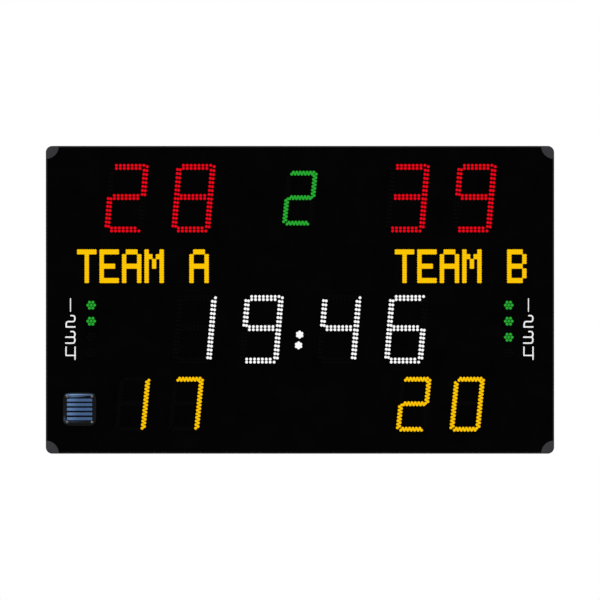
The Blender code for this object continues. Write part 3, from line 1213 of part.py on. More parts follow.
def build_terminals(builder, lift, seat):
    """Terminal block with sloping faces and a groove between each two terminals."""
    front = seat - TERMINAL_DEPTH
    upper = [(seat, TERMINAL_HALF_HEIGHT), (seat - TERMINAL_DEPTH / 2, TERMINAL_HALF_HEIGHT),
             (front, TERMINAL_HALF_HEIGHT / 2)]
    lower = [(y, -z) for y, z in reversed(upper)]
    mesh = plate_mesh("terminal_block", [upper + lower], TERMINAL_WIDTH)
    place = (TERMINAL_X, 0.0, ELECTRONICS_Z)
    block = builder.add("terminal_block", mesh, "device_grey", place, ACROSS, lift)
    grooves = []
    for index in range(1, TERMINAL_COUNT):
        x = TERMINAL_X - TERMINAL_WIDTH / 2 + index * TERMINAL_WIDTH / TERMINAL_COUNT
        half = TERMINAL_GROOVE / 2
        grooves.append(((x - half, front - OVERLAP, ELECTRONICS_Z - 2 * TERMINAL_HALF_HEIGHT),
                        (x + half, seat - TERMINAL_DEPTH / 2, ELECTRONICS_Z + 2 * TERMINAL_HALF_HEIGHT)))
    builder.cut(block, joined_boxes("terminal_grooves", grooves))


def build_power_supply(builder, lift):
    """Enclosed power supply with grooves across its front and a terminal strip below."""
    back = PANEL_FRONT_Y - CLEARANCE
    width, depth, height = SUPPLY_SIZE
    front, low, high = back - depth, ELECTRONICS_Z - height / 2, ELECTRONICS_Z + height / 2
    mesh = box_mesh("power_supply", (SUPPLY_X - width / 2, front, low), (SUPPLY_X + width / 2, back, high))
    supply = builder.add("power_supply", mesh, "zinc_steel", parent=lift)
    pitch = height / (SUPPLY_SLOTS + 2)
    near_x, far_x = SUPPLY_X - width / 3, SUPPLY_X + width / 3
    grooves = []
    for index in range(SUPPLY_SLOTS):
        z = low + (index + 2) * pitch
        grooves.append(((near_x, front - OVERLAP, z - SUPPLY_GROOVE / 2),
                        (far_x, front + SUPPLY_GROOVE, z + SUPPLY_GROOVE / 2)))
    builder.cut(supply, joined_boxes("supply_grooves", grooves))
    builder.cut(supply, box_mesh("supply_notch", (near_x, front - OVERLAP, low - OVERLAP),
                                 (far_x, front + depth / 3, low + pitch)))


def build_controller(builder, lift):
    """Control board on four standoffs, with its processor, connectors and relays."""
    panel = PANEL_FRONT_Y - CLEARANCE
    width, thickness, height = CONTROLLER_SIZE
    back = panel - CONTROLLER_STANDOFF
    front = back - thickness
    low, high = ELECTRONICS_Z - height / 2, ELECTRONICS_Z + height / 2
    mesh = box_mesh("controller_board", (CONTROLLER_X - width / 2, front, low),
                    (CONTROLLER_X + width / 2, back, high))
    board = builder.add("controller_board", mesh, "circuit_green", parent=lift)
    for side_x in (-1, 1):
        for side_z in (-1, 1):
            x = CONTROLLER_X + side_x * (width / 2 - CONTROLLER_STANDOFF)
            z = ELECTRONICS_Z + side_z * (height / 2 - CONTROLLER_STANDOFF)
            foot, head = (x, panel, z), (x, back - OVERLAP, z)
            builder.join(board, rod_mesh("standoff", CONTROLLER_STANDOFF / 2, foot, head, 12))
    chips = []
    for across, up, chip_width, chip_height, rise in CONTROLLER_CHIPS:
        x, z = CONTROLLER_X + across, ELECTRONICS_Z + up
        chips.append(((x - chip_width / 2, front - rise, z - chip_height / 2),
                      (x + chip_width / 2, front + OVERLAP, z + chip_height / 2)))
    builder.join(board, joined_boxes("controller_chips", chips))


def build_radio(builder, lift):
    """Radio module with a stub antenna on top."""
    back = PANEL_FRONT_Y - CLEARANCE
    width, depth, height = RADIO_SIZE
    middle_z = ELECTRONICS_Z + RADIO_ABOVE
    top = middle_z + height / 2
    mesh = box_mesh("radio_module", (RADIO_X - width / 2, back - depth, middle_z - height / 2),
                    (RADIO_X + width / 2, back, top))
    radio = builder.add("radio_module", mesh, "device_grey", parent=lift)
    y = back - depth / 2
    x = RADIO_X + width / 3
    foot, tip = (x, y, top - OVERLAP), (x, y, top + ANTENNA_HEIGHT)
    builder.join(radio, rod_mesh("antenna", ANTENNA_RADIUS, foot, tip, 12, ANTENNA_RADIUS / 2))


def build_loom(builder, lift):
    """Cable loom clipped to the back panel, from the terminal block round to the power supply."""
    y = PANEL_FRONT_Y - CLEARANCE - SUPPLY_SIZE[1] / 2
    z = ELECTRONICS_Z - LOOM_DROP
    start = (TERMINAL_X, ELECTRONICS_Z - TERMINAL_HALF_HEIGHT - CLEARANCE)
    end = (SUPPLY_X, ELECTRONICS_Z - SUPPLY_SIZE[2] / 2 - CLEARANCE)
    bend = 5 * LOOM_RADIUS
    route = [start, *arc((start[0] - bend, z + bend), bend, 0.0, -90.0, 6),
             *arc((end[0] + bend, z + bend), bend, 270.0, 180.0, 6), end]
    mesh = tube_mesh("loom_cabinet", [(x, y, height) for x, height in route], LOOM_RADIUS)
    loom = builder.add("loom_cabinet", mesh, "device_black", parent=lift)
    for share in LOOM_CLIP_SHARES:
        x = end[0] + share * (start[0] - end[0])
        clip = box_mesh("loom_clip", (x - LOOM_CLIP / 2, y - LOOM_CLIP / 2, z - LOOM_CLIP / 2),
                        (x + LOOM_CLIP / 2, PANEL_FRONT_Y - CLEARANCE, z + LOOM_CLIP / 2))
        builder.join(loom, clip)


def main():
    """Build the whole scoreboard."""
    clear_scene()
    builder = Builder("water_polo_scoreboard")
    lift = builder.axis("lift_slide", (0.0, 0.0, 0.0))
    door = builder.axis("door_axis", (0.0, HINGE_Y, HINGE_Z))
    door.parent = lift
    displays = all_displays()

    build_wall_rail(builder)
    build_hanger_rail(builder, lift)
    build_back_panel(builder, lift)
    floor = build_cabinet_ends(builder, lift)
    build_cabinet_sides(builder, lift)
    build_seal_and_buffers(builder, lift)
    build_hinge(builder, lift, door)
    build_rim(builder, door)
    build_corner_pieces(builder, door)
    build_face_sheet(builder, door, displays)
    for display in displays:
        build_display(builder, door, display)
    build_horn(builder, door)
    build_stays(builder, lift, door)
    build_locks(builder, lift, door, floor)
    build_glands(builder, lift, floor)
    build_rail_devices(builder, lift)
    build_power_supply(builder, lift)
    build_controller(builder, lift)
    build_radio(builder, lift)
    build_loom(builder, lift)


main()
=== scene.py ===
"""Looks of a wall-hung water polo scoreboard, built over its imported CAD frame, in metres.

+X is to the right of someone who reads the board, +Z is up and the board faces -Y. A depth counts
backwards from the front plane of the door's rim, so a larger depth is nearer the wall.
"""
from __future__ import annotations

import json
import logging
import math
from dataclasses import dataclass, field
from enum import Enum
from typing import Iterable, Sequence

import bmesh
import bpy
import numpy as np
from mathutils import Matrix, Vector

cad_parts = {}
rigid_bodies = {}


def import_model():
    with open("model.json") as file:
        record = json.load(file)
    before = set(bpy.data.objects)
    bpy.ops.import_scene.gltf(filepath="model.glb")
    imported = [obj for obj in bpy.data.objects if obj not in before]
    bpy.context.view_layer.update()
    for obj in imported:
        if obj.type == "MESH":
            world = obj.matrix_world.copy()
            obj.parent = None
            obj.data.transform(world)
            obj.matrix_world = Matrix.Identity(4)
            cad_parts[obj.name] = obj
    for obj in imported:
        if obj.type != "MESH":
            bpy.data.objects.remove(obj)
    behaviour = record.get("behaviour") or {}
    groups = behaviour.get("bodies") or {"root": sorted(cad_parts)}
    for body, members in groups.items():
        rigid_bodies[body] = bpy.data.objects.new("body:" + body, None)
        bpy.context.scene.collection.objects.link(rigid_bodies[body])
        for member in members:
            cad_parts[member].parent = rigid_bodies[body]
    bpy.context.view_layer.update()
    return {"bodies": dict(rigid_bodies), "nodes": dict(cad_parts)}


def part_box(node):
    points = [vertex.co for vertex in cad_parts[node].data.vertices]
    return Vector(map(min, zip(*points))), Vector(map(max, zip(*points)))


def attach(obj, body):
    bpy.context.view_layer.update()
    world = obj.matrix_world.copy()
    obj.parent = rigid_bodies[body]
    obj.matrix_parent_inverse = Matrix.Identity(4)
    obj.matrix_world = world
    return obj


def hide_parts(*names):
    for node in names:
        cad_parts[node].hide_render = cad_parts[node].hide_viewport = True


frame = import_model()
LOG = logging.getLogger("scoreboard")

MM = 0.001
# Front plane of the door's rim, middle of the board's face and depth of the face sheet's front.
DOOR_FRONT_Y = -0.110
MIDDLE_Z = -0.427
SHEET_FRONT = 1.8 * MM

# Points of a small shape about its own origin, and one array of faces for each size of face.
Shape = tuple[np.ndarray, list[np.ndarray]]
Tree, Socket, Thing = bpy.types.NodeTree, bpy.types.NodeSocket, bpy.types.Object


# Meshes


@dataclass
class Shell:
    """Vertices and faces of one piece, gathered from grids, lofts and copies of small shapes."""

    points: list[np.ndarray] = field(default_factory=list)
    corners: list[np.ndarray] = field(default_factory=list)
    sizes: list[np.ndarray] = field(default_factory=list)
    count: int = 0

    def add_points(self, points: np.ndarray) -> int:
        """Add points, as an array whose last side is 3, and return the number of the first one."""
        first = self.count
        self.points.append(points.reshape(-1, 3))
        self.count += len(self.points[-1])
        return first

    def add_faces(self, faces: np.ndarray, first: int) -> None:
        """Add faces of one size, an array of shape (faces, corners), counted from number first."""
        self.corners.append((faces + first).ravel())
        self.sizes.append(np.full(len(faces), faces.shape[1]))

    def add_grid(self, grid: np.ndarray, wrap_rows: bool = False, wrap_columns: bool = False) -> int:
        """Add a surface as quads between the neighbours of a grid.

        Args:
            grid: Array of shape (rows, columns, 3).
            wrap_rows: Whether the last row joins the first.
            wrap_columns: Whether the last column joins the first.

        Returns:
            Number of the grid's first point.
        """
        first = self.add_points(grid)
        self.add_faces(grid_faces(*grid.shape[:2], wrap_rows, wrap_columns), first)
        return first

    def add_loft(self, loops: np.ndarray) -> None:
        """Add a closed body: loops of points joined side to side, with a flat cap at each end.

        Args:
            loops: Array of shape (loops, points of a loop, 3), whose loops run anticlockwise as
                seen from beyond the last one.
        """
        layers, around = loops.shape[:2]
        first = self.add_grid(loops, wrap_columns=True)
        self.add_faces(np.arange(around)[None, ::-1], first)
        self.add_faces(np.arange(around)[None, :] + (layers - 1) * around, first)

    def add_copies(self, shape: Shape, places: np.ndarray) -> None:
        """Add the same small shape at many places at once, an array of shape (copies, 3)."""
        points, faces = shape
        first = self.add_points(points[None, :, :] + places[:, None, :])
        steps = (np.arange(len(places)) * len(points))[:, None, None]
        for group in faces:
            self.add_faces((group[None] + steps).reshape(-1, group.shape[1]), first)

    def mesh(self, name: str) -> bpy.types.Mesh:
        """Put everything gathered into one Blender mesh and return it."""
        mesh = bpy.data.meshes.new(name)
        points = np.concatenate(self.points).astype(np.float32)
        corners = np.concatenate(self.corners).astype(np.int32)
        sizes = np.concatenate(self.sizes).astype(np.int32)
        mesh.vertices.add(len(points))
        mesh.vertices.foreach_set("co", points.ravel())
        mesh.loops.add(len(corners))
        mesh.loops.foreach_set("vertex_index", corners)
        mesh.polygons.add(len(sizes))
        mesh.polygons.foreach_set("loop_start", (np.cumsum(sizes) - sizes).astype(np.int32))
        mesh.update(calc_edges=True)
        mesh.validate()
        return mesh


def grid_faces(rows: int, columns: int, wrap_rows: bool, wrap_columns: bool) -> np.ndarray:
    """Quads of a grid of points numbered row by row, each quad going along the columns first."""
    row = np.arange(rows if wrap_rows else rows - 1)[:, None]
    column = np.arange(columns if wrap_columns else columns - 1)[None, :]
    next_row, next_column = (row + 1) % rows, (column + 1) % columns
    return np.stack([row * columns + column, row * columns + next_column,
                     next_row * columns + next_column, next_row * columns + column], axis=-1).reshape(-1, 4)


def points_at(x: float | np.ndarray, y: float | np.ndarray, z: float | np.ndarray) -> np.ndarray:
    """Points from their coordinates, each one number or an array, all spread to one shape."""
    return np.stack(np.broadcast_arrays(x, y, z), axis=-1)


def circle(steps: int, first: float = 0.0) -> np.ndarray:
    """Angles of one full turn in equal steps, from the first angle on."""
    return np.linspace(0.0, 2 * math.pi, steps, endpoint=False) + first


def round_rectangle(width: float, height: float, radius: float, steps: int = 4) -> np.ndarray:
    """Anticlockwise outline of a rectangle about 0, 0 whose corners are quarter circles.

    Each corner's points are its circle's centre plus radius times cosine and sine of the angle.

    Returns:
        Array of shape (4 * (steps + 1), 2).
    """
    angles = np.radians(np.linspace(0.0, 90.0, steps + 1))
    turns = np.arange(4)[:, None] * math.pi / 2
    signs = np.array([(1, 1), (-1, 1), (-1, -1), (1, -1)])[:, None, :]
    centres = signs * np.array([width / 2 - radius, height / 2 - radius])
    rays = np.stack([np.cos(angles + turns), np.sin(angles + turns)], axis=-1)
    return (centres + radius * rays).reshape(-1, 2)


def superellipse(width: float, height: float, power: float, steps: int) -> np.ndarray:
    """Anticlockwise outline where |x / a| ** power + |z / b| ** power is 1.

    x is a times the cosine, and z is b times the sine, each to the 2 / power with its sign kept.
    """
    angle = circle(steps, math.pi / steps)
    x, z = (np.sign(wave) * np.abs(wave) ** (2.0 / power) for wave in (np.cos(angle), np.sin(angle)))
    return np.stack([width / 2 * x, height / 2 * z], axis=-1)


def stepped_loops(centre: Sequence[float], layers: Sequence[tuple[float, float, float, float]],
                  facing: int = -1) -> np.ndarray:
    """Loops of a stepped block whose sections are round-cornered rectangles.

    Args:
        centre: Middle of the block as (x, z).
        layers: (width, height, corner radius, depth behind the door's front) of each section, in
            the order in which they come towards the side that it faces.
        facing: -1 for a block that faces the reader, 1 for one that faces the wall.

    Returns:
        Array of shape (layers, points, 3).
    """
    outlines = [(round_rectangle(*layer[:3]), DOOR_FRONT_Y + layer[3]) for layer in layers]
    return np.stack([points_at(centre[0] - facing * outline[:, 0], y, centre[1] + outline[:, 1])
                     for outline, y in outlines])


def turned_grid(profile: np.ndarray, centre: Sequence[float], axis: str, steps: int,
                first: float = 0.0) -> np.ndarray:
    """Surface of revolution: each (radius, height) of the profile goes round the axis.

    Args:
        profile: Points (radius, height along the axis).
        centre: Point of the axis at height 0.
        axis: "x", "-x", "y", "-y", "z" or "-z", the way that height counts.
        steps: Points around.
        first: Angle of the first of them, in radians.

    Returns:
        Array of shape (points of the profile, steps, 3).
    """
    angle = circle(steps, first)
    across, up, height = profile[:, :1] * np.cos(angle), profile[:, :1] * np.sin(angle), profile[:, 1:2]
    order = {"x": (height, across, up), "-x": (-height, -across, up), "y": (across, height, -up),
             "-y": (across, -height, up), "z": (across, up, height), "-z": (across, -up, -height)}[axis]
    return points_at(*order) + np.asarray(centre)


def turned_shape(profile: np.ndarray, axis: str, steps: int) -> Shape:
    """Small closed turned body about 0, 0, 0, with a flat face at each end."""
    rows = len(profile)
    ends = np.stack([np.arange(steps)[::-1], np.arange(steps) + (rows - 1) * steps])
    points = turned_grid(profile, (0.0, 0.0, 0.0), axis, steps).reshape(-1, 3)
    return points, [grid_faces(rows, steps, False, True), ends]


def head_shape(radius: float, shares: np.ndarray, heights: np.ndarray, foot: float,
               axis: str, steps: int) -> Shape:
    """Round head of a screw, rivet or lamp about its seat.

    Args:
        radius: Radius of its edge.
        shares: Share of that radius at each ring of its top, from 1 at the edge inwards.
        heights: Height of each of these rings.
        foot: Height at which its upright edge starts, sunk below the seat.
        axis: The way that it points, as in turned_grid.
        steps: Points around.
    """
    profile = np.stack([radius * np.insert(shares, 0, 1.0), np.insert(heights, 0, foot)], axis=-1)
    return turned_shape(profile, axis, steps)


def box_shape(width: float, depth: float, height: float, facing: int = -1) -> Shape:
    """Block about its own middle, with its face's edges cut back by a fifth of its least side.

    Args:
        width: Size along X.
        depth: Size along Y.
        height: Size along Z.
        facing: -1 if its face is towards the reader, 1 if it is towards the wall.
    """
    cut = min(width, depth, height) / 5
    back = np.array([(-1, -1), (1, -1), (1, 1), (-1, 1)]) * np.array([-facing * width / 2, height / 2])
    face = back - np.sign(back) * cut
    rings = ((back, -depth / 2), (back, depth / 2 - cut), (face, depth / 2))
    points = np.concatenate([points_at(ring[:, 0], facing * y, ring[:, 1]) for ring, y in rings])
    return points, [grid_faces(3, 4, False, True), np.array([[3, 2, 1, 0], [8, 9, 10, 11]])]


def tube_grid(path: np.ndarray, width: float, thickness: float, around: int) -> np.ndarray:
    """Oval tube along a path: at each point an ellipse, square to the path's own direction.

    The ellipse's wide axis is square to both the path and the board's depth, and its points are
    that axis times cosine plus the other axis times sine.

    Returns:
        Array of shape (points of the path, around, 3).
    """
    way = np.gradient(path, axis=0)
    way /= np.linalg.norm(way, axis=1, keepdims=True)
    wide = np.cross(way, np.array([0.0, 1.0, 0.0]))
    length = np.linalg.norm(wide, axis=1, keepdims=True)
    wide = np.where(length > 0.05, wide / np.maximum(length, 1e-9), np.array([[1.0, 0.0, 0.0]]))
    other = np.cross(wide, way)
    angle = circle(around)[None, :, None]
    return (path[:, None] + wide[:, None] * np.cos(angle) * width / 2
            - other[:, None] * np.sin(angle) * thickness / 2)


def smooth_path(knots: Sequence[Sequence[float]], per_span: int = 6) -> np.ndarray:
    """Catmull-Rom curve through the knots: a cubic on each span, from the four knots about it."""
    given = np.asarray(knots, dtype=float)
    padded = np.vstack([2 * given[0] - given[1], given, 2 * given[-1] - given[-2]])
    t = np.linspace(0.0, 1.0, per_span, endpoint=False)[None, :, None]
    a, b, c, d = (padded[start:len(padded) - 3 + start, None] for start in range(4))
    spans = 0.5 * (2 * b + (c - a) * t + (2 * a - 5 * b + 4 * c - d) * t ** 2
                   + (3 * b - a - 3 * c + d) * t ** 3)
    return np.vstack([spans.reshape(-1, given.shape[1]), given[-1]])


def centred_grid(width: float, height: float, pitch_x: float, pitch_z: float) -> np.ndarray:
    """Centres (x, z) of a grid about 0, 0 with these pitches that fits in a width and height."""
    across = np.arange(max(1, int(width / pitch_x)))
    up = np.arange(max(1, int(height / pitch_z)))
    xs, zs = (across - across.mean()) * pitch_x, (up - up.mean()) * pitch_z
    return np.stack(np.meshgrid(xs, zs, indexing="ij"), axis=-1).reshape(-1, 2)


def on_board(points_mm: np.ndarray) -> np.ndarray:
    """Turn (x, z) in millimetres about the middle of the board's face into metres."""
    return points_mm * MM + np.array([0.0, MIDDLE_Z])


# Finishes

# A wave texture has one band every 0.314 units divided by its scale.
WAVE_BAND = 0.314


def linear(colour: str) -> tuple[float, float, float, float]:
    """Turn an sRGB hex colour such as "#1b1b1d" into the linear colour that a shader takes."""
    channels = [int(colour[start:start + 2], 16) / 255 for start in (1, 3, 5)]
    red, green, blue = (value / 12.92 if value <= 0.04045 else ((value + 0.055) / 1.055) ** 2.4
                        for value in channels)
    return red, green, blue, 1.0


def feed(socket: Socket, value: object) -> None:
    """Give an input its value, or link it to the output that the value is."""
    if isinstance(value, Socket):
        socket.id_data.links.new(value, socket)
    else:
        socket.default_value = value


def add_node(tree: Tree, kind: str, settings: dict[str, object] | None = None) -> bpy.types.Node:
    """Add one shader node.

    Args:
        tree: The node tree that it goes into.
        kind: The node's Blender type after its first word, ShaderNode.
        settings: Its own properties and its inputs, by name or, where names repeat, by identifier.
            An input takes a value, or the output of another node.

    Returns:
        The new node.
    """
    node = tree.nodes.new("ShaderNode" + kind)
    for name, value in (settings or {}).items():
        if hasattr(node, name):
            setattr(node, name, value)
        else:
            feed(next(socket for socket in node.inputs
                      if socket.enabled and name in (socket.name, socket.identifier)), value)
    return node


def two_colours(tree: Tree, share: Socket, first: tuple[float, str], last: tuple[float, str]) -> Socket:
    """Colour that turns from one to another as a share grows, each given as (share, hex)."""
    ramp = add_node(tree, "ValToRGB", {"Fac": share})
    for element, (position, colour) in zip(ramp.color_ramp.elements, (first, last)):
        element.position, element.color = position, linear(colour)
    return ramp.outputs["Color"]


class Making(Enum):
    """How a surface was made and how many octaves of noise its fine pattern has."""

    POWDER_COAT = ("powder coat", 2.0)
    DRAWN = ("drawn", 4.0)
    MOULDED = ("moulded", 5.0)
    PLATED = ("plated", 3.0)
    TURNED = ("turned", 2.0)
    WOVEN = ("woven wire", 0.0)


@dataclass(frozen=True)
class Surface:
    """What a piece is made of: the material's name and its two main colours in hex."""

    name: str
    colour: str
    other: str

    def material(self) -> bpy.types.Material:
        """The surface as a material, made once and shared by every piece that has it."""
        known = bpy.data.materials.get(self.name)
        if known:
            return known
        material = bpy.data.materials.new(self.name)
        material.diffuse_color = linear(self.colour)
        material.use_nodes = True
        tree = material.node_tree
        place = add_node(tree, "TexCoord").outputs["Object"]
        for name, value in self.looks(tree, place).items():
            feed(tree.nodes["Principled BSDF"].inputs[name], value)
        return material

    def looks(self, tree: Tree, place: Socket) -> dict[str, object]:
        """Draw the pattern at a place, and return what goes into the shader's inputs."""
        raise NotImplementedError

    @staticmethod
    def relief(tree: Tree, height: Socket, rise_mm: float, strength: float) -> Socket:
        """Normal of a surface whose pattern stands rise_mm out of it."""
        return add_node(tree, "Bump", {"Strength": strength, "Distance": rise_mm * MM,
                                       "Height": height}).outputs["Normal"]


@dataclass(frozen=True)
class Finish(Surface):
    """One real material with the mark of how it was made.

    The colour wanders between its two values over patches of patch_mm, and the fine pattern of
    grain_mm carries bump_mm of relief and a little of the roughness. A drawn surface has its
    pattern pulled out along its length, which is X where along is 0 and Z where it is 2.
    """

    making: Making
    roughness: float
    spread: float = 0.08
    metallic: float = 0.0
    specular: float = 0.5
    grain_mm: float = 1.0
    bump_mm: float = 0.02
    patch_mm: float = 90.0
    along: int = 0

    def looks(self, tree: Tree, place: Socket) -> dict[str, object]:
        """Mottled colour, a roughness that goes with it and the relief of the fine pattern."""
        fine = self.fine(tree, place)
        scale = 1.0 / (self.patch_mm * MM)
        if self.making is Making.PLATED:
            broad = add_node(tree, "TexVoronoi", {"Scale": scale, "Vector": place}).outputs["Color"]
        else:
            broad = add_node(tree, "TexNoise",
                             {"Scale": scale, "Detail": 3.0, "Vector": place}).outputs["Fac"]
        mixed = add_node(tree, "Mix", {"data_type": "FLOAT", "Factor_Float": 0.35, "A_Float": broad,
                                       "B_Float": fine}).outputs["Result"]
        rough = add_node(tree, "MapRange",
                         {"From Min": 0.3, "From Max": 0.7, "To Min": self.roughness - self.spread / 2,
                          "To Max": self.roughness + self.spread / 2, "Value": mixed}).outputs["Result"]
        shine = {} if self.metallic else {"Specular IOR Level": self.specular}
        return {"Base Color": two_colours(tree, mixed, (0.32, self.colour), (0.68, self.other)),
                "Roughness": rough, "Normal": self.relief(tree, fine, self.bump_mm, 1.0),
                "Metallic": self.metallic} | shine

    def fine(self, tree: Tree, place: Socket) -> Socket:
        """Height of the fine pattern: crossing strands on woven wire, a noise on all else."""
        scale = 1.0 / (self.grain_mm * MM)
        if self.making is Making.WOVEN:
            strands = [add_node(tree, "TexWave", {"bands_direction": axis, "Scale": WAVE_BAND * scale,
                                                  "Vector": place}).outputs["Fac"] for axis in "XZ"]
            return add_node(tree, "Math", {"operation": "MAXIMUM", "Value": strands[0],
                                           "Value_001": strands[1]}).outputs["Value"]
        stretch = [1.0, 1.0, 1.0]
        if self.making is Making.DRAWN:
            stretch[self.along] = 0.02
        pulled = add_node(tree, "Mapping", {"Scale": stretch, "Vector": place}).outputs["Vector"]
        return add_node(tree, "TexNoise", {"Scale": scale, "Detail": self.making.value[1],
                                           "Vector": pulled}).outputs["Fac"]


@dataclass(frozen=True)
class LampLens(Surface):
    """Tinted epoxy dome of a lamp, moulded round its chip, with its heart's colour and its rim's.

    The dome glows a little less towards its rim and from lamp to lamp, which its "glow" attribute
    carries, so the rows read as separate lamps and not as a painted bar.
    """

    strength: float = 1.0
    gloss: float = 0.25

    def looks(self, tree: Tree, place: Socket) -> dict[str, object]:
        """Light that follows the glow with a faint grain, or a plain tint where it is unlit."""
        glow = add_node(tree, "Attribute", {"attribute_name": "glow"}).outputs["Fac"]
        grain = add_node(tree, "TexNoise",
                         {"Scale": 1.0 / (2.5 * MM), "Detail": 1.0, "Vector": place}).outputs["Fac"]
        mixed = add_node(tree, "Mix", {"data_type": "FLOAT", "Factor_Float": 0.1, "A_Float": glow,
                                       "B_Float": grain}).outputs["Result"]
        tint = two_colours(tree, mixed, (0.15, self.other), (0.75, self.colour))
        lit = {"Emission Color": tint, "Emission Strength": self.strength, "Base Color": linear("#000000")}
        # Unlit domes take this share into their base colour, so their rims are painted a shade darker than
        # their tops.
        colours = lit if self.strength else {"Base Color": tint}
        return {"Roughness": self.gloss, "Specular IOR Level": 0.012} | colours


@dataclass(frozen=True)
class LinedPlastic(Surface):
    """Plastic with fine parallel lines, with the colour of their crests and of their grooves.

    Where the piece has an attribute named sheen, it turns towards a paler colour by that share: a painted
    reflection, as on the bowed parts of the horn's grille.
    """

    pitch_mm: float
    roughness: float
    axis: str = "Z"
    # Colour of the painted reflection, laid over the lines by the share in the sheen attribute.
    painted_reflection: str = "#9fbde2"
    specular: float = 0.12

    def looks(self, tree: Tree, place: Socket) -> dict[str, object]:
        """Lines across the axis, under the painted reflection that the piece's sheen attribute lays over
        them.
        """
        lines = add_node(tree, "TexWave",
                         {"bands_direction": self.axis, "Scale": WAVE_BAND / (self.pitch_mm * MM),
                          "Distortion": 0.2, "Detail": 1.0, "Vector": place}).outputs["Fac"]
        # The sheen attribute holds the share of painted reflection that is mixed into the colour below.
        sheen = add_node(tree, "Attribute", {"attribute_name": "sheen"}).outputs["Fac"]
        # Grooves take the darker colour: painted shade in the grooves, on top of the shading that the relief
        # gives.
        crests_and_painted_grooves = two_colours(tree, lines, (0.0, self.other), (1.0, self.colour))
        with_painted_reflection = add_node(tree, "Mix", {"data_type": "RGBA", "Factor_Float": sheen, "A_Color": crests_and_painted_grooves,
                                         "B_Color": linear(self.painted_reflection)}).outputs["Result"]
        return {"Base Color": with_painted_reflection, "Normal": self.relief(tree, lines, 0.08, 0.6),
                "Roughness": self.roughness, "Specular IOR Level": self.specular}


@dataclass(frozen=True)
class CircuitMask(Surface):
    """Solder mask over etched copper: tracks show as paler lines under the lacquer.

    A cell pattern of area_mm picks where the tracks run level, where they run upright and where
    the copper is one poured sheet. Between the tracks the lacquer is now and then a shade darker.
    """

    shade: str = "#12361f"
    pitch_mm: float = 2.5
    area_mm: float = 19.0

    def looks(self, tree: Tree, place: Socket) -> dict[str, object]:
        """Level and upright tracks as the joints of two brick patterns, picked cell by cell."""
        layers = []
        for quarter in (0.0, math.pi / 2):
            turned = add_node(tree, "Mapping", {"Rotation": (math.pi / 2, 0.0, quarter),
                                                "Vector": place}).outputs["Vector"]
            layers.append(add_node(tree, "TexBrick",
                                   {"Color1": linear(self.colour), "Color2": linear(self.shade),
                                    "Mortar": linear(self.other), "Scale": 1.0, "Mortar Size": 0.35 * MM,
                                    "Brick Width": 9 * self.pitch_mm * MM, "Row Height": self.pitch_mm * MM,
                                    "Vector": turned}).outputs["Color"])
        areas = add_node(tree, "TexVoronoi", {"distance": "CHEBYCHEV", "Vector": place,
                                              "Scale": 1.0 / (self.area_mm * MM)}).outputs["Color"]
        apart = add_node(tree, "SeparateColor", {"Color": areas}).outputs
        upright, poured = (add_node(tree, "Math", {"operation": "GREATER_THAN", "Value": apart[channel],
                                                   "Value_001": least}).outputs["Value"]
                           for channel, least in (("Red", 0.55), ("Green", 0.6)))
        routed = add_node(tree, "Mix", {"data_type": "RGBA", "Factor_Float": upright,
                                        "A_Color": layers[0], "B_Color": layers[1]}).outputs["Result"]
        colour = add_node(tree, "Mix", {"data_type": "RGBA", "Factor_Float": poured, "A_Color": routed,
                                        "B_Color": linear(self.colour)}).outputs["Result"]
        return {"Base Color": colour, "Normal": self.relief(tree, colour, 0.05, 0.4), "Roughness": 0.32}


# Grains finer than half a millimetre wouldn't show from a few metres, so none is drawn finer.

# The photograph shows the face as plain black, so its coat is dead matt with a trace of peel.
FACE_COAT = Finish("face_sheet_matt_powder_coat", "#010101", "#040404", Making.POWDER_COAT, 0.75,
                   specular=0.008, grain_mm=1.2, bump_mm=0.015)
# Anodised extrusion: near-black dye with die lines along its length and hardly any shine.
RIM_LEVEL = Finish("rim_black_anodised_extrusion_level", "#101011", "#171719", Making.DRAWN, 0.48,
                   specular=0.05, grain_mm=0.9, bump_mm=0.006)
RIM_UPRIGHT = Finish("rim_black_anodised_extrusion_upright", "#101011", "#171719", Making.DRAWN, 0.48,
                     specular=0.05, grain_mm=0.9, bump_mm=0.006, along=2)
# Glass-filled nylon from a spark-eroded mould: mid-dark grey with an even fine grain.
CORNER_NYLON = Finish("corner_grey_moulded_nylon", "#2f2e31", "#343337", Making.MOULDED, 0.62,
                      specular=0.1, grain_mm=0.8, bump_mm=0.03, patch_mm=40.0)
# ABS mask round the lamps, painted dead black so that only the lamps show.
MASK_ABS = Finish("lamp_mask_black_moulded_abs", "#010101", "#040404", Making.MOULDED, 0.8,
                  specular=0.008, grain_mm=1.0, bump_mm=0.02)
# Screen-printed ink: a flat and even white film, with the faint tooth of the screen.
SCREEN_INK = Finish("figures_white_screen_print", "#fbfbfb", "#ffffff", Making.POWDER_COAT, 0.6,
                    specular=0.3, grain_mm=0.6, bump_mm=0.006)
# The grille is polished black with a painted blue reflection on its bowed bar, and its slats are blue-grey
# with a painted highlight towards their ends.
GRILLE_ABS = LinedPlastic("grille_black_polished_abs", "#0b0c0b", "#070807", pitch_mm=1.2,
                          roughness=0.26, painted_reflection="#8db3e6", specular=0.07)
SLAT_PLASTIC = LinedPlastic("grille_slat_blue_grey_moulded", "#43608a", "#365176", pitch_mm=1.6,
                            roughness=0.38, painted_reflection="#6486b6")
# Fine wire screen behind slats and vents: crossing strands a good millimetre apart, lacquered black.
DUST_SCREEN = Finish("dust_screen_black_woven_wire", "#050506", "#0e0e10", Making.WOVEN, 0.8,
                     specular=0.1, grain_mm=1.3, bump_mm=0.15)
# Cabinet: folded steel with a dark grey coat whose peel shows in glancing light.
CABINET_COAT = Finish("cabinet_grey_powder_coat", "#2b2c2e", "#323336", Making.POWDER_COAT, 0.5,
                      specular=0.4, grain_mm=1.6, bump_mm=0.05)
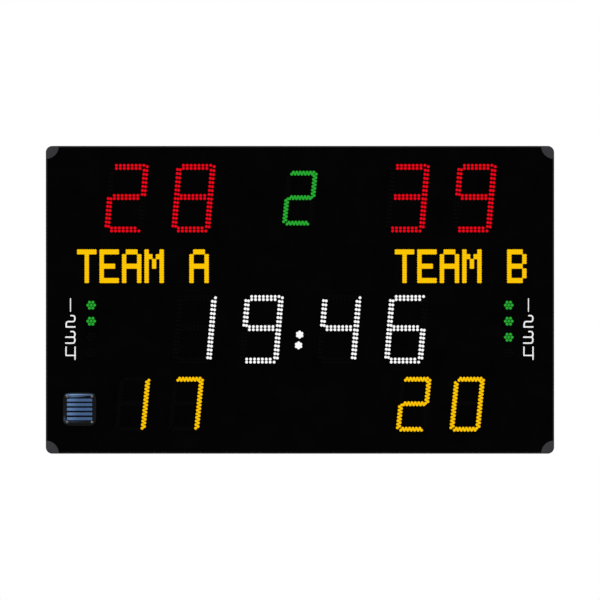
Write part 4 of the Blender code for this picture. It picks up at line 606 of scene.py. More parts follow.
# Zinc plate: pale grey metal in flat patches that each shine a little differently.
ZINC = Finish("hardware_zinc_plated_steel", "#a9adaf", "#c3c6c8", Making.PLATED, 0.38, spread=0.14,
              metallic=1.0, grain_mm=2.0, bump_mm=0.01, patch_mm=14.0)
# Rolled stainless steel: brighter than zinc, with fine lines along its length.
STAINLESS = Finish("hardware_stainless_steel", "#b9bbbd", "#cfd1d2", Making.DRAWN, 0.27, spread=0.10,
                   metallic=1.0, grain_mm=0.7, bump_mm=0.004)
# Turned metals with a faint cut: darkened steel for one bright dot on each screw, and warm brass.
BLACK_STEEL = Finish("screw_blackened_steel", "#5e6164", "#74777a", Making.TURNED, 0.3,
                     metallic=1.0, grain_mm=0.6, bump_mm=0.004)
BRASS = Finish("antenna_brass_turned", "#b8934c", "#cdaa62", Making.TURNED, 0.3,
               metallic=1.0, grain_mm=0.8, bump_mm=0.004)
# Rubbers: nearly no shine, lined along the extruded seal and evenly grained on moulded pieces.
EPDM = Finish("seal_black_extruded_rubber", "#141414", "#1d1d1d", Making.DRAWN, 0.85,
              specular=0.25, grain_mm=1.0, bump_mm=0.03)
BUFFER_RUBBER = Finish("buffer_black_moulded_rubber", "#161616", "#1f1f1f", Making.MOULDED, 0.82,
                       specular=0.25, grain_mm=0.9, bump_mm=0.04)
# Cast housing under thin paint: a half-metallic sheen over a sandy surface.
DRIVER_PAINT = Finish("horn_driver_black_cast_metal", "#1b1c1e", "#242528", Making.POWDER_COAT, 0.5,
                      metallic=0.3, grain_mm=2.0, bump_mm=0.08)
# Moulded plastics of bought-in parts: a soft sheen over a fine grain, and chips duller than the rest.
GLAND_PA = Finish("gland_black_moulded_nylon", "#1b1b1d", "#232326", Making.MOULDED, 0.5, grain_mm=0.8)
DEVICE_GREY = Finish("device_light_grey_moulded_abs", "#b4b7b8", "#bec1c2", Making.MOULDED, 0.55,
                     specular=0.4, grain_mm=0.8, patch_mm=50.0)
DEVICE_BLACK = Finish("device_black_moulded_abs", "#131315", "#1b1b1e", Making.MOULDED, 0.5, grain_mm=0.8)
CHIP_EPOXY = Finish("chip_black_moulded_epoxy", "#18181a", "#202023", Making.MOULDED, 0.6,
                    grain_mm=0.5, patch_mm=20.0)
# Drawn sleeve of a wire, black with a soft sheen, and flat cable whose grooves between its wires carry a
# painted dark line of shade.
WIRE_PVC = Finish("wire_black_extruded_pvc", "#161618", "#1f1f22", Making.DRAWN, 0.45, bump_mm=0.01)
RIBBON_PVC = LinedPlastic("ribbon_grey_flat_cable", "#9a9da0", "#6c6f73", pitch_mm=1.27,
                          roughness=0.5, axis="DIAGONAL")
# Circuit board: green lacquer over paler tracks, so that it reads as a board and not as a sheet.
BOARD_MASK = CircuitMask("circuit_board_green_solder_mask", "#164a2b", "#2f7a48")
# Pale wooden board under even paint, which shows the studio's floor without drawing the eye.
FLOOR_PAINT = Finish("floor_pale_painted_board", "#f3f3f2", "#f7f7f6", Making.POWDER_COAT, 0.8,
                     specular=0.2, grain_mm=4.0, bump_mm=0.05)

# Lit lamps glow in their colour with a deeper rim, and the unlit ones are near-black domes.
LENS = {
    "lamp_red": LampLens("lamp_lens_red_epoxy_lit", "#ea031a", "#d00314"),
    "lamp_green": LampLens("lamp_lens_green_epoxy_lit", "#27a82e", "#248c33"),
    "lamp_white": LampLens("lamp_lens_white_epoxy_lit", "#ffffff", "#e6e6e6"),
    "lamp_amber": LampLens("lamp_lens_yellow_epoxy_lit", "#ffc800", "#e6aa00"),
    "lamp_off": LampLens("lamp_lens_dark_epoxy_unlit", "#040404", "#020202", strength=0.0, gloss=0.4),
}


# Pieces


@dataclass
class Workshop:
    """Makes pieces out of meshes, dresses them and keeps count of them.

    The angles are between neighbouring faces. On a made piece, edges under smooth_turn are shaded
    over. On a stand-in, faces under flat_turn are joined, edges over sharp_turn are rounded, faces
    with an edge between bend_turn and that are shaded over, and edges over crease_turn stay sharp.
    """

    made: int = 0
    smooth_turn: float = math.radians(35.0)
    flat_turn: float = math.radians(1.0)
    bend_turn: float = math.radians(0.5)
    sharp_turn: float = math.radians(32.0)
    crease_turn: float = math.radians(50.0)

    def piece(self, name: str, shell: Shell, finish: Surface, body: str, slot: str,
              replaces: Iterable[str] = (), smooth: bool = True) -> Thing:
        """Make one finished piece at the origin, riding on its body.

        Args:
            name: Name of the piece.
            shell: Its vertices and faces, where they lie on the board.
            finish: What it is made of.
            body: CAD body that it moves with.
            slot: The record's material slot; not used.
            replaces: CAD nodes that it stands for.
            smooth: Whether shading runs over edges under smooth_turn.

        Returns:
            The piece's object.
        """
        mesh = shell.mesh(name)
        if smooth:
            mesh.shade_smooth()
            mesh.set_sharp_from_angle(angle=self.smooth_turn)
        return self.dress(mesh, finish, body, replaces)

    def dress(self, mesh: bpy.types.Mesh, finish: Surface, body: str,
              replaces: Iterable[str]) -> Thing:
        """Make a mesh a piece of its own name: its material, what it rides on and stands for."""
        piece = bpy.data.objects.new(mesh.name, mesh)
        bpy.context.scene.collection.objects.link(piece)
        mesh.materials.append(finish.material())
        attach(piece, body)
        if replaces:
            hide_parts(*replaces)
        self.made += 1
        LOG.info("%s: %d faces, %s, on %s", piece.name, len(mesh.polygons), finish.name, body)
        return piece

    def softened(self, node: str, edge_mm: float, finish: Surface, body: str) -> None:
        """Make a stand-in for a CAD node, copied from it, with its sharp edges rounded by edge_mm."""
        work = bmesh.new()
        work.from_mesh(frame["nodes"][node].data)
        bmesh.ops.remove_doubles(work, verts=work.verts, dist=0.01 * MM)
        bmesh.ops.dissolve_limit(work, angle_limit=self.flat_turn, verts=work.verts, edges=work.edges)
        turn = {edge: edge.calc_face_angle(0.0) for edge in work.edges}
        for face in work.faces:
            face.smooth = any(self.bend_turn < turn[edge] < self.sharp_turn for edge in face.edges)
        sharp = [edge for edge in work.edges if turn[edge] > self.sharp_turn]
        rounded = bmesh.ops.bevel(work, geom=sharp, offset=edge_mm * MM, offset_type="OFFSET", segments=2,
                                  profile=0.5, affect="EDGES", clamp_overlap=True)
        for face in rounded["faces"]:
            face.smooth = True
        mesh = bpy.data.meshes.new(node + "_rounded")
        work.to_mesh(mesh)
        work.free()
        mesh.set_sharp_from_angle(angle=self.crease_turn)
        self.dress(mesh, finish, body, (node,))

    def paint(self, node: str, finish: Surface) -> None:
        """Give a CAD node that stays as it is a detailed material."""
        materials = frame["nodes"][node].data.materials
        materials.clear()
        materials.append(finish.material())
        LOG.info("%s: CAD node in %s", node, finish.name)


def store(piece: Thing, name: str, values: np.ndarray) -> None:
    """Store one number for each point of a piece, which its material reads by that name."""
    layer = piece.data.attributes.new(name, "FLOAT", "POINT")
    layer.data.foreach_set("value", values.ravel().astype(np.float32))


# Lamp boards


@dataclass(frozen=True)
class FigureStyle:
    """Where the lamps of a seven-bar figure lie.

    Each bar has two rows, in millimetres about the figure's centre: x and z of the first lamp, x
    and z of the last one, and how many. The x is before the lean, which adds its share of z to it.
    """

    lean: float
    lamp_radius: float
    bars: dict[str, tuple[tuple[float, ...], ...]]


LARGE = FigureStyle(0.0825, 5.25 * MM, {
    "a": ((-47.0, 121.0, 52.1, 121.0, 8), (-46.1, 109.9, 38.9, 109.9, 7)),
    "b": ((64.7, 116.4, 64.7, 14.7, 8), (54.7, 103.6, 54.7, 15.7, 7)),
    "c": ((64.5, -1.2, 64.5, -101.7, 8), (54.5, 0.0, 54.5, -100.5, 8)),
    "d": ((-46.2, -105.5, 38.8, -105.5, 7), (-45.3, -116.5, 53.9, -116.5, 8)),
    "e": ((-66.8, 1.1, -66.8, -98.3, 8), (-56.8, -0.2, -56.8, -99.6, 8)),
    "f": ((-66.7, 106.3, -66.7, 17.3, 7), (-56.8, 105.1, -56.8, 16.0, 7)),
    "g": ((-46.0, 12.0, 39.0, 12.0, 7), (-45.1, 0.9, 39.9, 0.9, 7)),
})
SMALL = FigureStyle(0.0975, 5.45 * MM, {
    "a": ((-34.9, 95.5, 38.9, 95.5, 7), (-40.5, 88.4, 33.5, 88.4, 7)),
    "b": ((48.2, 88.3, 48.2, 11.2, 7), (40.6, 82.0, 40.6, 5.1, 7)),
    "c": ((48.3, -1.5, 48.3, -79.0, 7), (40.7, -7.6, 40.7, -85.3, 7)),
    "d": ((-33.4, -85.5, 28.3, -85.5, 6), (-39.6, -92.3, 35.3, -92.3, 7)),
    "e": ((-52.8, -7.5, -52.8, -83.5, 7), (-45.3, -1.4, -45.3, -77.7, 7)),
    "f": ((-52.7, 79.6, -52.7, 4.8, 7), (-45.2, 73.5, -45.2, 10.8, 6)),
    "g": ((-33.5, 6.7, 27.9, 6.7, 6), (-39.0, -0.3, 34.7, -0.3, 7)),
})
BARS_OF = {"0": "abcdef", "1": "bc", "2": "abged", "3": "abgcd", "4": "fgbc", "5": "afgcd",
           "6": "afgedc", "7": "abc", "8": "abcdefg", "9": "abcdfg"}
LETTERS = {
    "T": ("11111", "00100", "00100", "00100", "00100", "00100", "00100"),
    "E": ("11111", "10000", "10000", "11110", "10000", "10000", "11111"),
    "A": ("01110", "10001", "10001", "11111", "10001", "10001", "10001"),
    "M": ("10001", "11011", "10101", "10101", "10001", "10001", "10001"),
    "B": ("11110", "10001", "10001", "11110", "10001", "10001", "11110"),
    " ": ("00000",) * 7,
}


@dataclass
class Numerals:
    """Where the lamps of a row of figures lie, split into lit and dark ones."""

    text: str
    centres_mm: tuple[float, ...]
    height_mm: float
    style: FigureStyle

    def places(self) -> tuple[np.ndarray, np.ndarray]:
        """Centres (x, z) in metres of the lit and of the dark lamps.

        A lamp's x is its figure's centre plus its own x plus its own z times the lean.
        """
        groups: dict[bool, list[np.ndarray]] = {True: [np.empty((0, 2))], False: [np.empty((0, 2))]}
        for character, middle in zip(self.text, self.centres_mm):
            for letter, rows in self.style.bars.items():
                for x0, z0, x1, z1, number in rows:
                    x, z = np.linspace(x0, x1, int(number)), np.linspace(z0, z1, int(number))
                    lamps = np.stack([middle + x + z * self.style.lean, self.height_mm + z], axis=-1)
                    groups[letter in BARS_OF[character]].append(lamps)
        return on_board(np.concatenate(groups[True])), on_board(np.concatenate(groups[False]))


@dataclass
class NameLine:
    """Where the lamps of a dot-matrix word lie: each dot of a letter is two by two lamps."""

    text: str
    first_x_mm: float
    top_mm: float = 177.8
    pitch_x_mm: float = 6.8
    pitch_z_mm: float = 8.63
    letter_pitch_mm: float = 81.3

    def places(self) -> tuple[np.ndarray, np.ndarray]:
        """Centres (x, z) in metres of the lit and of the dark lamps."""
        dots = np.array([[[int(dot) for dot in row] for row in LETTERS[letter]] for letter in self.text])
        lit = dots.repeat(2, axis=1).repeat(2, axis=2).astype(bool)
        letter, row, column = np.indices(lit.shape)
        x = self.first_x_mm + letter * self.letter_pitch_mm + column * self.pitch_x_mm
        lamps = on_board(np.stack([x, self.top_mm - row * self.pitch_z_mm], axis=-1))
        return lamps[lit], lamps[~lit]


@dataclass
class Clusters:
    """Where the lamps of round clusters lie: one in the middle and six on a ring about it."""

    centres_mm: tuple[tuple[float, float], ...]
    lit: int
    ring_mm: float
    first_angle: float = 0.0

    def places(self) -> tuple[np.ndarray, np.ndarray]:
        """Centres (x, z) in metres of the lit and of the dark lamps."""
        angle = np.radians(self.first_angle + 60.0 * np.arange(6))
        ring = self.ring_mm * np.stack([np.cos(angle), np.sin(angle)], axis=-1)
        cluster = np.vstack([[0.0, 0.0], ring])
        lamps = on_board(np.array(self.centres_mm)[:, None] + cluster[None])
        return lamps[:self.lit].reshape(-1, 2), lamps[self.lit:].reshape(-1, 2)


@dataclass
class Lamps:
    """Lamps of one kind on one board: their places as (x, z), and the size of their domes."""

    places: np.ndarray
    radius: float
    rise: float
    seat_depth: float = 2.1 * MM
    skirt: float = 0.4 * MM
    unevenness: float = 0.12
    steps: int = 12

    def build(self, shop: Workshop, name: str, slot: str) -> None:
        """Make all the domes as one piece.

        A dome's height over radius r is its rise times the square root of 1 - (r / radius) ** 2,
        and its skirt goes back into the mask. The attribute "glow" is the share of full light,
        more towards the dome's top and varied a little from lamp to lamp.
        """
        shares = np.array([1.0, 0.88, 0.58, 0.24])
        heights = self.rise * np.sqrt(1.0 - shares ** 2)
        dome = head_shape(self.radius, shares, heights, -self.skirt, "-y", self.steps)
        x, z = self.places.T
        shell = Shell()
        shell.add_copies(dome, points_at(x, DOOR_FRONT_Y + self.seat_depth, z))
        piece = shop.piece(name, shell, LENS[slot], "door", slot)
        lamp_glow = 1.0 + self.unevenness * (np.random.default_rng(len(x)).random(len(x)) - 0.5)
        ring_glow = np.repeat(np.array([0.15, 0.3, 0.55, 0.85, 1.0]), self.steps)
        store(piece, "glow", lamp_glow[:, None] * ring_glow[None])


@dataclass
class LampBoard:
    """Lamp board behind a window: mask, circuit board and its lamps, lit and dark.

    Its window is where the CAD node of the same name says, less the flange behind the sheet.
    """

    node: str
    slot: str
    lit: np.ndarray
    dark: np.ndarray
    radius: float
    dark_radius: float = 0.0
    rise: float = 2.6 * MM
    dark_rise: float = 1.82 * MM
    flange: float = 8.0 * MM

    def build(self, shop: Workshop) -> None:
        """Make the board's pieces."""
        low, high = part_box(self.node)
        centre = ((low.x + high.x) / 2, (low.z + high.z) / 2)
        size = (high.x - low.x, high.z - low.z)
        self.build_mask(shop, centre, *size)
        self.build_circuit(shop, centre, *size)
        if len(self.lit):
            Lamps(self.lit, self.radius, self.rise).build(shop, self.node + "_lamps_lit", self.slot)
        if len(self.dark):
            radius = self.dark_radius or self.radius
            Lamps(self.dark, radius, self.dark_rise).build(shop, self.node + "_lamps_dark", "lamp_off")

    def build_mask(self, shop: Workshop, centre: tuple[float, float], wide: float, high: float) -> None:
        """Black mask in the window, stepped out to its flange behind the face sheet."""
        gap = 0.6 * MM
        step = 2 * self.flange + gap
        shell = Shell()
        shell.add_loft(stepped_loops(centre, (
            (wide, high, 4 * MM, 9.2 * MM), (wide, high, 4 * MM, 5.6 * MM),
            (wide - gap, high - gap, 4 * MM, 5.1 * MM), (wide - step, high - step, 1 * MM, 5.1 * MM),
            (wide - step, high - step, 1 * MM, 2.5 * MM),
            (wide - step - gap, high - step - gap, 1 * MM, 2.1 * MM))))
        shop.piece(self.node + "_mask", shell, MASK_ABS, "door", "lamp_off", (self.node,))

    def build_circuit(self, shop: Workshop, centre: tuple[float, float], wide: float, high: float) -> None:
        """Green circuit board on the mask's back, with driver chips and its cable header."""
        board, chips, legs = Shell(), Shell(), Shell()
        board.add_loft(stepped_loops(centre, (
            (wide - 2 * MM, high - 2 * MM, 3 * MM, 9.2 * MM),
            (wide - 2 * MM, high - 2 * MM, 3 * MM, 10.9 * MM),
            (wide - 2.4 * MM, high - 2.4 * MM, 3 * MM, 11.1 * MM)), facing=1))
        shop.piece(self.node + "_circuit", board, BOARD_MASK, "door", "circuit_green")
        grid = centred_grid(wide - 36 * MM, high - 32 * MM, 46 * MM, 38 * MM)
        grid = grid[(np.abs(grid[:, 0]) > 45 * MM) | (np.abs(grid[:, 1]) > 22 * MM)]
        if len(grid):
            places = np.insert(grid + np.array(centre), 1, DOOR_FRONT_Y + 12.0 * MM, axis=1)
            chips.add_copies(box_shape(16 * MM, 1.9 * MM, 7 * MM, facing=1), places)
            row = points_at((np.arange(6) - 2.5) * 2.5 * MM, -0.6 * MM, 0.0)
            legs.add_copies(box_shape(1.0 * MM, 0.5 * MM, 10.4 * MM, facing=1),
                            (places[:, None] + row[None]).reshape(-1, 3))
        header = min(60 * MM, wide - 2 * self.flange)
        chips.add_loft(stepped_loops(centre, (
            (header, 22 * MM, 1.5 * MM, 11.0 * MM), (header, 22 * MM, 1.5 * MM, 16.7 * MM),
            (header - 0.8 * MM, 21.2 * MM, 1.5 * MM, 17.1 * MM)), facing=1))
        shop.piece(self.node + "_chips", chips, CHIP_EPOXY, "door", "nylon_black")
        if legs.count:
            shop.piece(self.node + "_chip_legs", legs, ZINC, "door", "zinc_steel", smooth=False)


@dataclass
class Displays:
    """Every lamp board of the door and the flat cables that join them."""

    scores: tuple[str, str] = ("28", "39")
    clock: str = "1946"
    period: str = "2"
    penalties: tuple[str, str] = ("17", "20")
    names: tuple[str, str] = ("TEAM A", "TEAM B")
    timeouts: tuple[int, int] = (2, 3)
    timeout_rows_mm: tuple[float, ...] = (-19.4, -77.5, -135.5, -193.5)

    def build(self, shop: Workshop) -> None:
        """Make the ten boards and their cables."""
        rows = (
            ("score_board_home", "lamp_red", self.scores[0], (-627.4, -385.1), 365.7, LARGE),
            ("score_board_guest", "lamp_red", self.scores[1], (390.3, 632.6), 365.7, LARGE),
            ("clock_board", "lamp_white", self.clock, (-380.2, -138.0, 143.1, 385.4), -109.1, LARGE),
            ("period_board", "lamp_green", self.period, (1.9,), 366.6, SMALL),
            ("penalty_board_left", "lamp_amber", self.penalties[0], (-603.9, -410.0), -379.6, SMALL),
            ("penalty_board_right", "lamp_amber", self.penalties[1], (413.8, 607.6), -379.6, SMALL))
        boards = {}
        for node, slot, text, centres, height, style in rows:
            lamps = Numerals(text, centres, height, style).places()
            boards[node] = LampBoard(node, slot, *lamps, style.lamp_radius)
        colon = Clusters(((-1.1, -126.0), (-5.1, -164.9)), lit=2, ring_mm=9.2, first_angle=30.0).places()[0]
        boards["clock_board"].lit = np.vstack([boards["clock_board"].lit, colon])
        for side, name, first_x in zip(("left", "right"), self.names, (-802.5, 348.0)):
            node, places = "name_board_" + side, NameLine(name, first_x).places()
            boards[node] = LampBoard(node, "lamp_amber", *places, LARGE.lamp_radius, dark_radius=3.0 * MM)
        for side, x, lit in zip(("left", "right"), (-756.0, 756.0), self.timeouts):
            node, centres = "timeout_board_" + side, tuple((x, row) for row in self.timeout_rows_mm)
            places = Clusters(centres, lit, ring_mm=12.1).places()
            boards[node] = LampBoard(node, "lamp_green", *places, radius=5.5 * MM)
        for board in boards.values():
            board.build(shop)
        self.build_ribbons(shop)

    def build_ribbons(self, shop: Workshop) -> None:
        """Flat cables from board to board across the door's back, bent smoothly between headers."""
        chains = (("score_board_home", "name_board_left", "timeout_board_left", "clock_board"),
                  ("score_board_guest", "name_board_right", "timeout_board_right", "clock_board"),
                  ("period_board", "clock_board"), ("penalty_board_left", "clock_board"),
                  ("penalty_board_right", "clock_board"))
        share = np.array([0.0, 0.03, 0.1, 0.5, 0.9, 0.97, 1.0])
        depth = np.array([16.6, 16.9, 14.2, 13.6, 14.2, 16.9, 16.6]) * MM
        sideways = 12 * MM * np.sin(math.pi * share)
        shell = Shell()
        for start, end in (pair for chain in chains for pair in zip(chain, chain[1:])):
            (a_low, a_high), (b_low, b_high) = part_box(start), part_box(end)
            a, b = (a_low + a_high) / 2, (b_low + b_high) / 2
            knots = points_at(a.x + (b.x - a.x) * share + sideways, depth + DOOR_FRONT_Y,
                              a.z + (b.z - a.z) * share)
            shell.add_loft(tube_grid(smooth_path(knots), width=22 * MM, thickness=1.1 * MM, around=8))
        shop.piece("display_ribbon_cables", shell, RIBBON_PVC, "door", "device_grey")


# Door front


@dataclass
class DoorFront:
    """Face sheet, rim, corner pieces and the printed figures beside the lamp clusters."""

    figure_columns_mm: tuple[float, float] = (-831.0, 827.0)
    figure_rows_mm: tuple[float, ...] = (-19.0, -77.2, -135.5, -193.5)
    stroke_mm: tuple[float, ...] = (3.6, 5.2, 5.2, 4.6)
    ink_mm: float = 0.10

    def build(self, shop: Workshop) -> None:
        """Make the front's pieces."""
        shop.paint("face_sheet", FACE_COAT)
        for side, finish in (("top", RIM_LEVEL), ("bottom", RIM_LEVEL),
                             ("left", RIM_UPRIGHT), ("right", RIM_UPRIGHT)):
            shop.softened("door_" + side, 0.35, finish, "door")
        for corner in ("top_left", "top_right", "bottom_left", "bottom_right"):
            shop.softened("corner_" + corner, 0.9, CORNER_NYLON, "door")
        self.build_figures(shop)

    def paths(self) -> list[list[tuple[tuple[float, float], ...]]]:
        """Middle lines of the strokes of 1, 2, 3 and 4, in millimetres about each figure's centre."""
        return [
            [((0.2, 23.1), (0.2, -22.8))],
            [((1.8, 19.6), (8.6, 19.6), (13.6, 17.6), (15.9, 12.4), (15.9, 6.0), (13.6, 0.4), (8.6, -1.9),
              (-7.4, -1.9), (-12.8, -4.2), (-15.3, -9.4), (-15.3, -21.2)), ((-15.3, -21.2), (16.2, -21.2))],
            [((1.8, 20.4), (8.6, 20.4), (13.6, 18.4), (15.9, 13.4), (15.9, 7.0), (12.4, 0.2)),
             ((-16.8, 0.2), (12.4, 0.2)),
             ((12.4, 0.2), (15.9, -6.6), (15.9, -13.4), (13.6, -18.8), (8.6, -21.3), (-16.8, -21.3))],
            [((-16.0, 22.6), (-16.0, -8.0)), ((-16.0, -8.0), (17.6, -8.0)), ((16.7, 22.6), (16.7, -22.0))],
        ]

    def build_figures(self, shop: Workshop) -> None:
        """Print the figures 1 to 4 in both columns as a thin raised film of ink."""
        shell = Shell()
        for column in self.figure_columns_mm:
            for row, strokes, width in zip(self.figure_rows_mm, self.paths(), self.stroke_mm):
                for layer, knots in enumerate(strokes):
                    self.add_stroke(shell, np.array(knots) + np.array([column, row]), width, layer)
        shop.piece("timeout_figures_print", shell, SCREEN_INK, "door", "print_white", smooth=False)

    def add_stroke(self, shell: Shell, knots: np.ndarray, width: float, layer: int) -> None:
        """Add one stroke with round ends.

        Rows run along the middle line and go on by half the stroke's width at each end, where
        the half-width is half the stroke times the square root of 1 - t ** 2, with t the share of
        that extra length. A row's points lie across the line at that half-width, on the sheet and
        on top of the ink.

        Args:
            shell: What the stroke is added to.
            knots: Middle line in millimetres about the board's centre.
            width: Width of the stroke in millimetres.
            layer: Number of the stroke in its figure, which sets a trace more height.
        """
        half = width / 2
        line = smooth_path(knots, per_span=4) if len(knots) > 2 else knots
        way = np.gradient(line, axis=0)
        way /= np.linalg.norm(way, axis=1, keepdims=True)
        caps = np.sin(np.linspace(0.0, math.pi / 2, 6))[::-1]
        start = line[:1] - way[:1] * (caps[:, None] * half)
        end = line[-1:] + way[-1:] * (caps[::-1, None] * half)
        middle = np.vstack([start, line[1:-1], end])
        ways = np.vstack([np.repeat(way[:1], 6, 0), way[1:-1], np.repeat(way[-1:], 6, 0)])
        round_end = half * np.sqrt(np.maximum(1.0 - caps ** 2, 0.004))
        widths = np.concatenate([round_end, np.full(len(line) - 2, half), round_end[::-1]])
        across = np.stack([-ways[:, 1], ways[:, 0]], axis=-1) * widths[:, None]
        low = DOOR_FRONT_Y + SHEET_FRONT - 0.002 * MM
        high = DOOR_FRONT_Y + SHEET_FRONT - (self.ink_mm + 0.01 * layer) * MM
        right, left = on_board(middle + across), on_board(middle - across)
        sides = ((right, low), (right, high), (left, high), (left, low))
        shell.add_loft(np.stack([points_at(side[:, 0], y, side[:, 1]) for side, y in sides], axis=1))


# Horn


@dataclass
class HornGrille:
    """Square louvred grille of the horn: bowed frame, sloping slats, dust screen and screws."""

    centre: tuple[float, float] = (-0.7976, -0.8231)
    width: float = 122.7 * MM
    height: float = 123.4 * MM
    opening: tuple[float, float] = (90.2 * MM, 79.7 * MM)
    slat_offsets_mm: tuple[float, ...] = (33.1, 16.7, -0.1, -16.9, -34.2)
    slat_height: float = 10.6 * MM
    slat_lean: float = math.radians(14.0)
    screw_offset: tuple[float, float] = (45.0 * MM, 46.5 * MM)
    recess_turn: float = 0.6

    def build(self, shop: Workshop) -> None:
        """Make the grille's pieces."""
        self.build_frame(shop)
        self.build_slats(shop)
        self.build_screen(shop)
        self.build_screws(shop)

    def build_frame(self, shop: Workshop) -> None:
        """Bowed frame between a squarish superellipse and the nearly square opening.

        With t from 0 at the outer edge to 1 at the opening, a point lies at (1 - t) of the outer
        outline plus t of the inner one, and it rises by the sine of pi * t ** 0.8, to the power 0.6.
        """
        t = np.array([0.0, 0.0, 0.04, 0.12, 0.25, 0.42, 0.6, 0.76, 0.88, 0.96, 1.0, 1.0])
        outer = superellipse(self.width, self.height, power=5.6, steps=96)
        inner = superellipse(*self.opening, power=16.0, steps=96)
        flat = (1.0 - t)[:, None, None] * outer[None] + t[:, None, None] * inner[None]
        rise = 6.4 * MM * np.sin(math.pi * t ** 0.8) ** 0.6 + np.where(t > 0.5, 1.4, 0.6) * MM
        back = 1.5 * MM
        depth = back - rise
        depth[0], depth[-1] = back, back
        shell = Shell()
        shell.add_grid(points_at(self.centre[0] + flat[..., 0], (DOOR_FRONT_Y + depth)[:, None],
                                 self.centre[1] + flat[..., 1]), wrap_rows=True, wrap_columns=True)
        piece = shop.piece("horn_grille_frame", shell, GRILLE_ABS, "door", "grille_black", ("horn_grille",))
        # The sheen attribute paints a blue reflection and highlights into the frame's colour along its bars.
        store(piece, "sheen", self.painted_reflection(flat[..., 0] / MM, flat[..., 1] / MM))

    @staticmethod
    def painted_reflection(x: np.ndarray, z: np.ndarray) -> np.ndarray:
        """Share of painted reflection on the frame, from 0 to 1, at x and z in millimetres about its centre.

        It is a sum of painted highlights, each a bell exp(-(distance / width) ** 2): two along the upper
        bar, which fade from the left to the right, a faint one along the lower bar and one at a lower corner.
        """
        near = np.exp(-((x + 22.0) / 30.0) ** 2)
        ends = 1.0 / (1.0 + np.exp((np.abs(x) - 46.0) / 2.5))
        upper = ends * (np.exp(-((z - 52.8) / 2.0) ** 2) * (0.42 + 0.5 * near)
                        + 0.6 * np.exp(-((z - 45.6) / 1.8) ** 2) * near ** 2)
        lower = 0.06 * np.exp(-((z + 44.0) / 3.0) ** 2) * near * ends
        corner = 0.12 * np.exp(-(((x + 54.0) / 3.5) ** 2 + ((z + 36.0) / 9.0) ** 2))
        return np.clip(upper + lower + corner, 0.0, 1.0)

    def build_slats(self, shop: Workshop) -> None:
        """Five bowed slats that lean back towards their upper edge.

        A slat's section is an oval round a line that leans by 14 degrees: half its height times
        the cosine along it, and 1 mm times the sine across it. Its middle stands 2 mm prouder
        than its ends, as 1 - s ** 2 with s from -1 to 1 along it. Its painted highlight is a bell about
        s = -0.8, towards its left end, with a little more towards both ends.
        """
        angle, s = circle(20), np.linspace(-1.0, 1.0, 25)
        cosine, sine = math.cos(self.slat_lean), math.sin(self.slat_lean)
        along = self.slat_height / 2 * np.cos(angle) / cosine
        across = 1.0 * MM * np.sin(angle)
        x = self.centre[0] + s * (self.opening[0] / 2 + 0.6 * MM)
        y = (DOOR_FRONT_Y - 1.4 * MM - 2.0 * MM * (1 - s ** 2)[:, None]
             + (along * sine + across * cosine)[None])
        shell = Shell()
        for offset in self.slat_offsets_mm:
            up = self.centre[1] + offset * MM + (along * cosine - across * sine)
            shell.add_loft(points_at(x[:, None], y, up[None])[:, ::-1])
        # Painted highlight on the slats: a bell near their left ends and a little more at both ends.
        painted_reflection = 0.45 * np.exp(-((s + 0.8) / 0.5) ** 2) + 0.1 * s ** 2
        piece = shop.piece("horn_grille_slats", shell, SLAT_PLASTIC, "door", "grille_black")
        store(piece, "sheen", np.tile(np.repeat(painted_reflection, len(angle)), len(self.slat_offsets_mm)))

    def build_screen(self, shop: Workshop) -> None:
        """Black wire screen over the horn's mouth behind the slats, which keeps dust out."""
        shell = Shell()
        wide, high = self.opening[0] + 4 * MM, self.opening[1] + 6 * MM
        shell.add_loft(stepped_loops(self.centre, ((wide, high, 2 * MM, 1.7 * MM),
                                                   (wide, high, 2 * MM, 1.3 * MM))))
        shop.piece("horn_dust_screen", shell, DUST_SCREEN, "door", "grille_black")

    def build_screws(self, shop: Workshop) -> None:
        """Four pan-head screws with a cross recess.

        A head's height is 1.75 mm times the square root of 1 - 0.75 (r / R) ** 2. The recess is
        1.1 mm deep along two lines through the middle, fades about 0.5 mm beside them and ends
        softly at 0.6 R.
        """
        radius = 4.2 * MM
        share = np.array([1.0, 1.0, 0.94, 0.86, 0.76, 0.68, 0.6, 0.52, 0.42, 0.3, 0.2, 0.1])[:, None]
        angle = circle(48, first=math.radians(20.0))
        x, z = radius * share * np.cos(angle), radius * share * np.sin(angle)
        turned = angle - self.recess_turn
        beside = radius * share * np.minimum(np.abs(np.cos(turned)), np.abs(np.sin(turned)))
        recess = 1.1 * MM * np.exp(-(beside / (0.5 * MM)) ** 4) / (1.0 + np.exp((share - 0.6) * 30.0))
        height = 1.75 * MM * np.sqrt(1.0 - 0.75 * share ** 2) - recess
        height[0] = -1.0 * MM
        for index, (side_x, side_z) in enumerate(((-1, 1), (1, 1), (-1, -1), (1, -1)), start=1):
            shell = Shell()
            shell.add_loft(points_at(self.centre[0] + side_x * self.screw_offset[0] + x,
                                     DOOR_FRONT_Y - 6.3 * MM - height,
                                     self.centre[1] + side_z * self.screw_offset[1] + z))
            shop.piece(f"horn_grille_screw_{index}", shell, BLACK_STEEL, "door", "bright_steel",
                       (f"grille_screw_{index}",))


# Cabinet


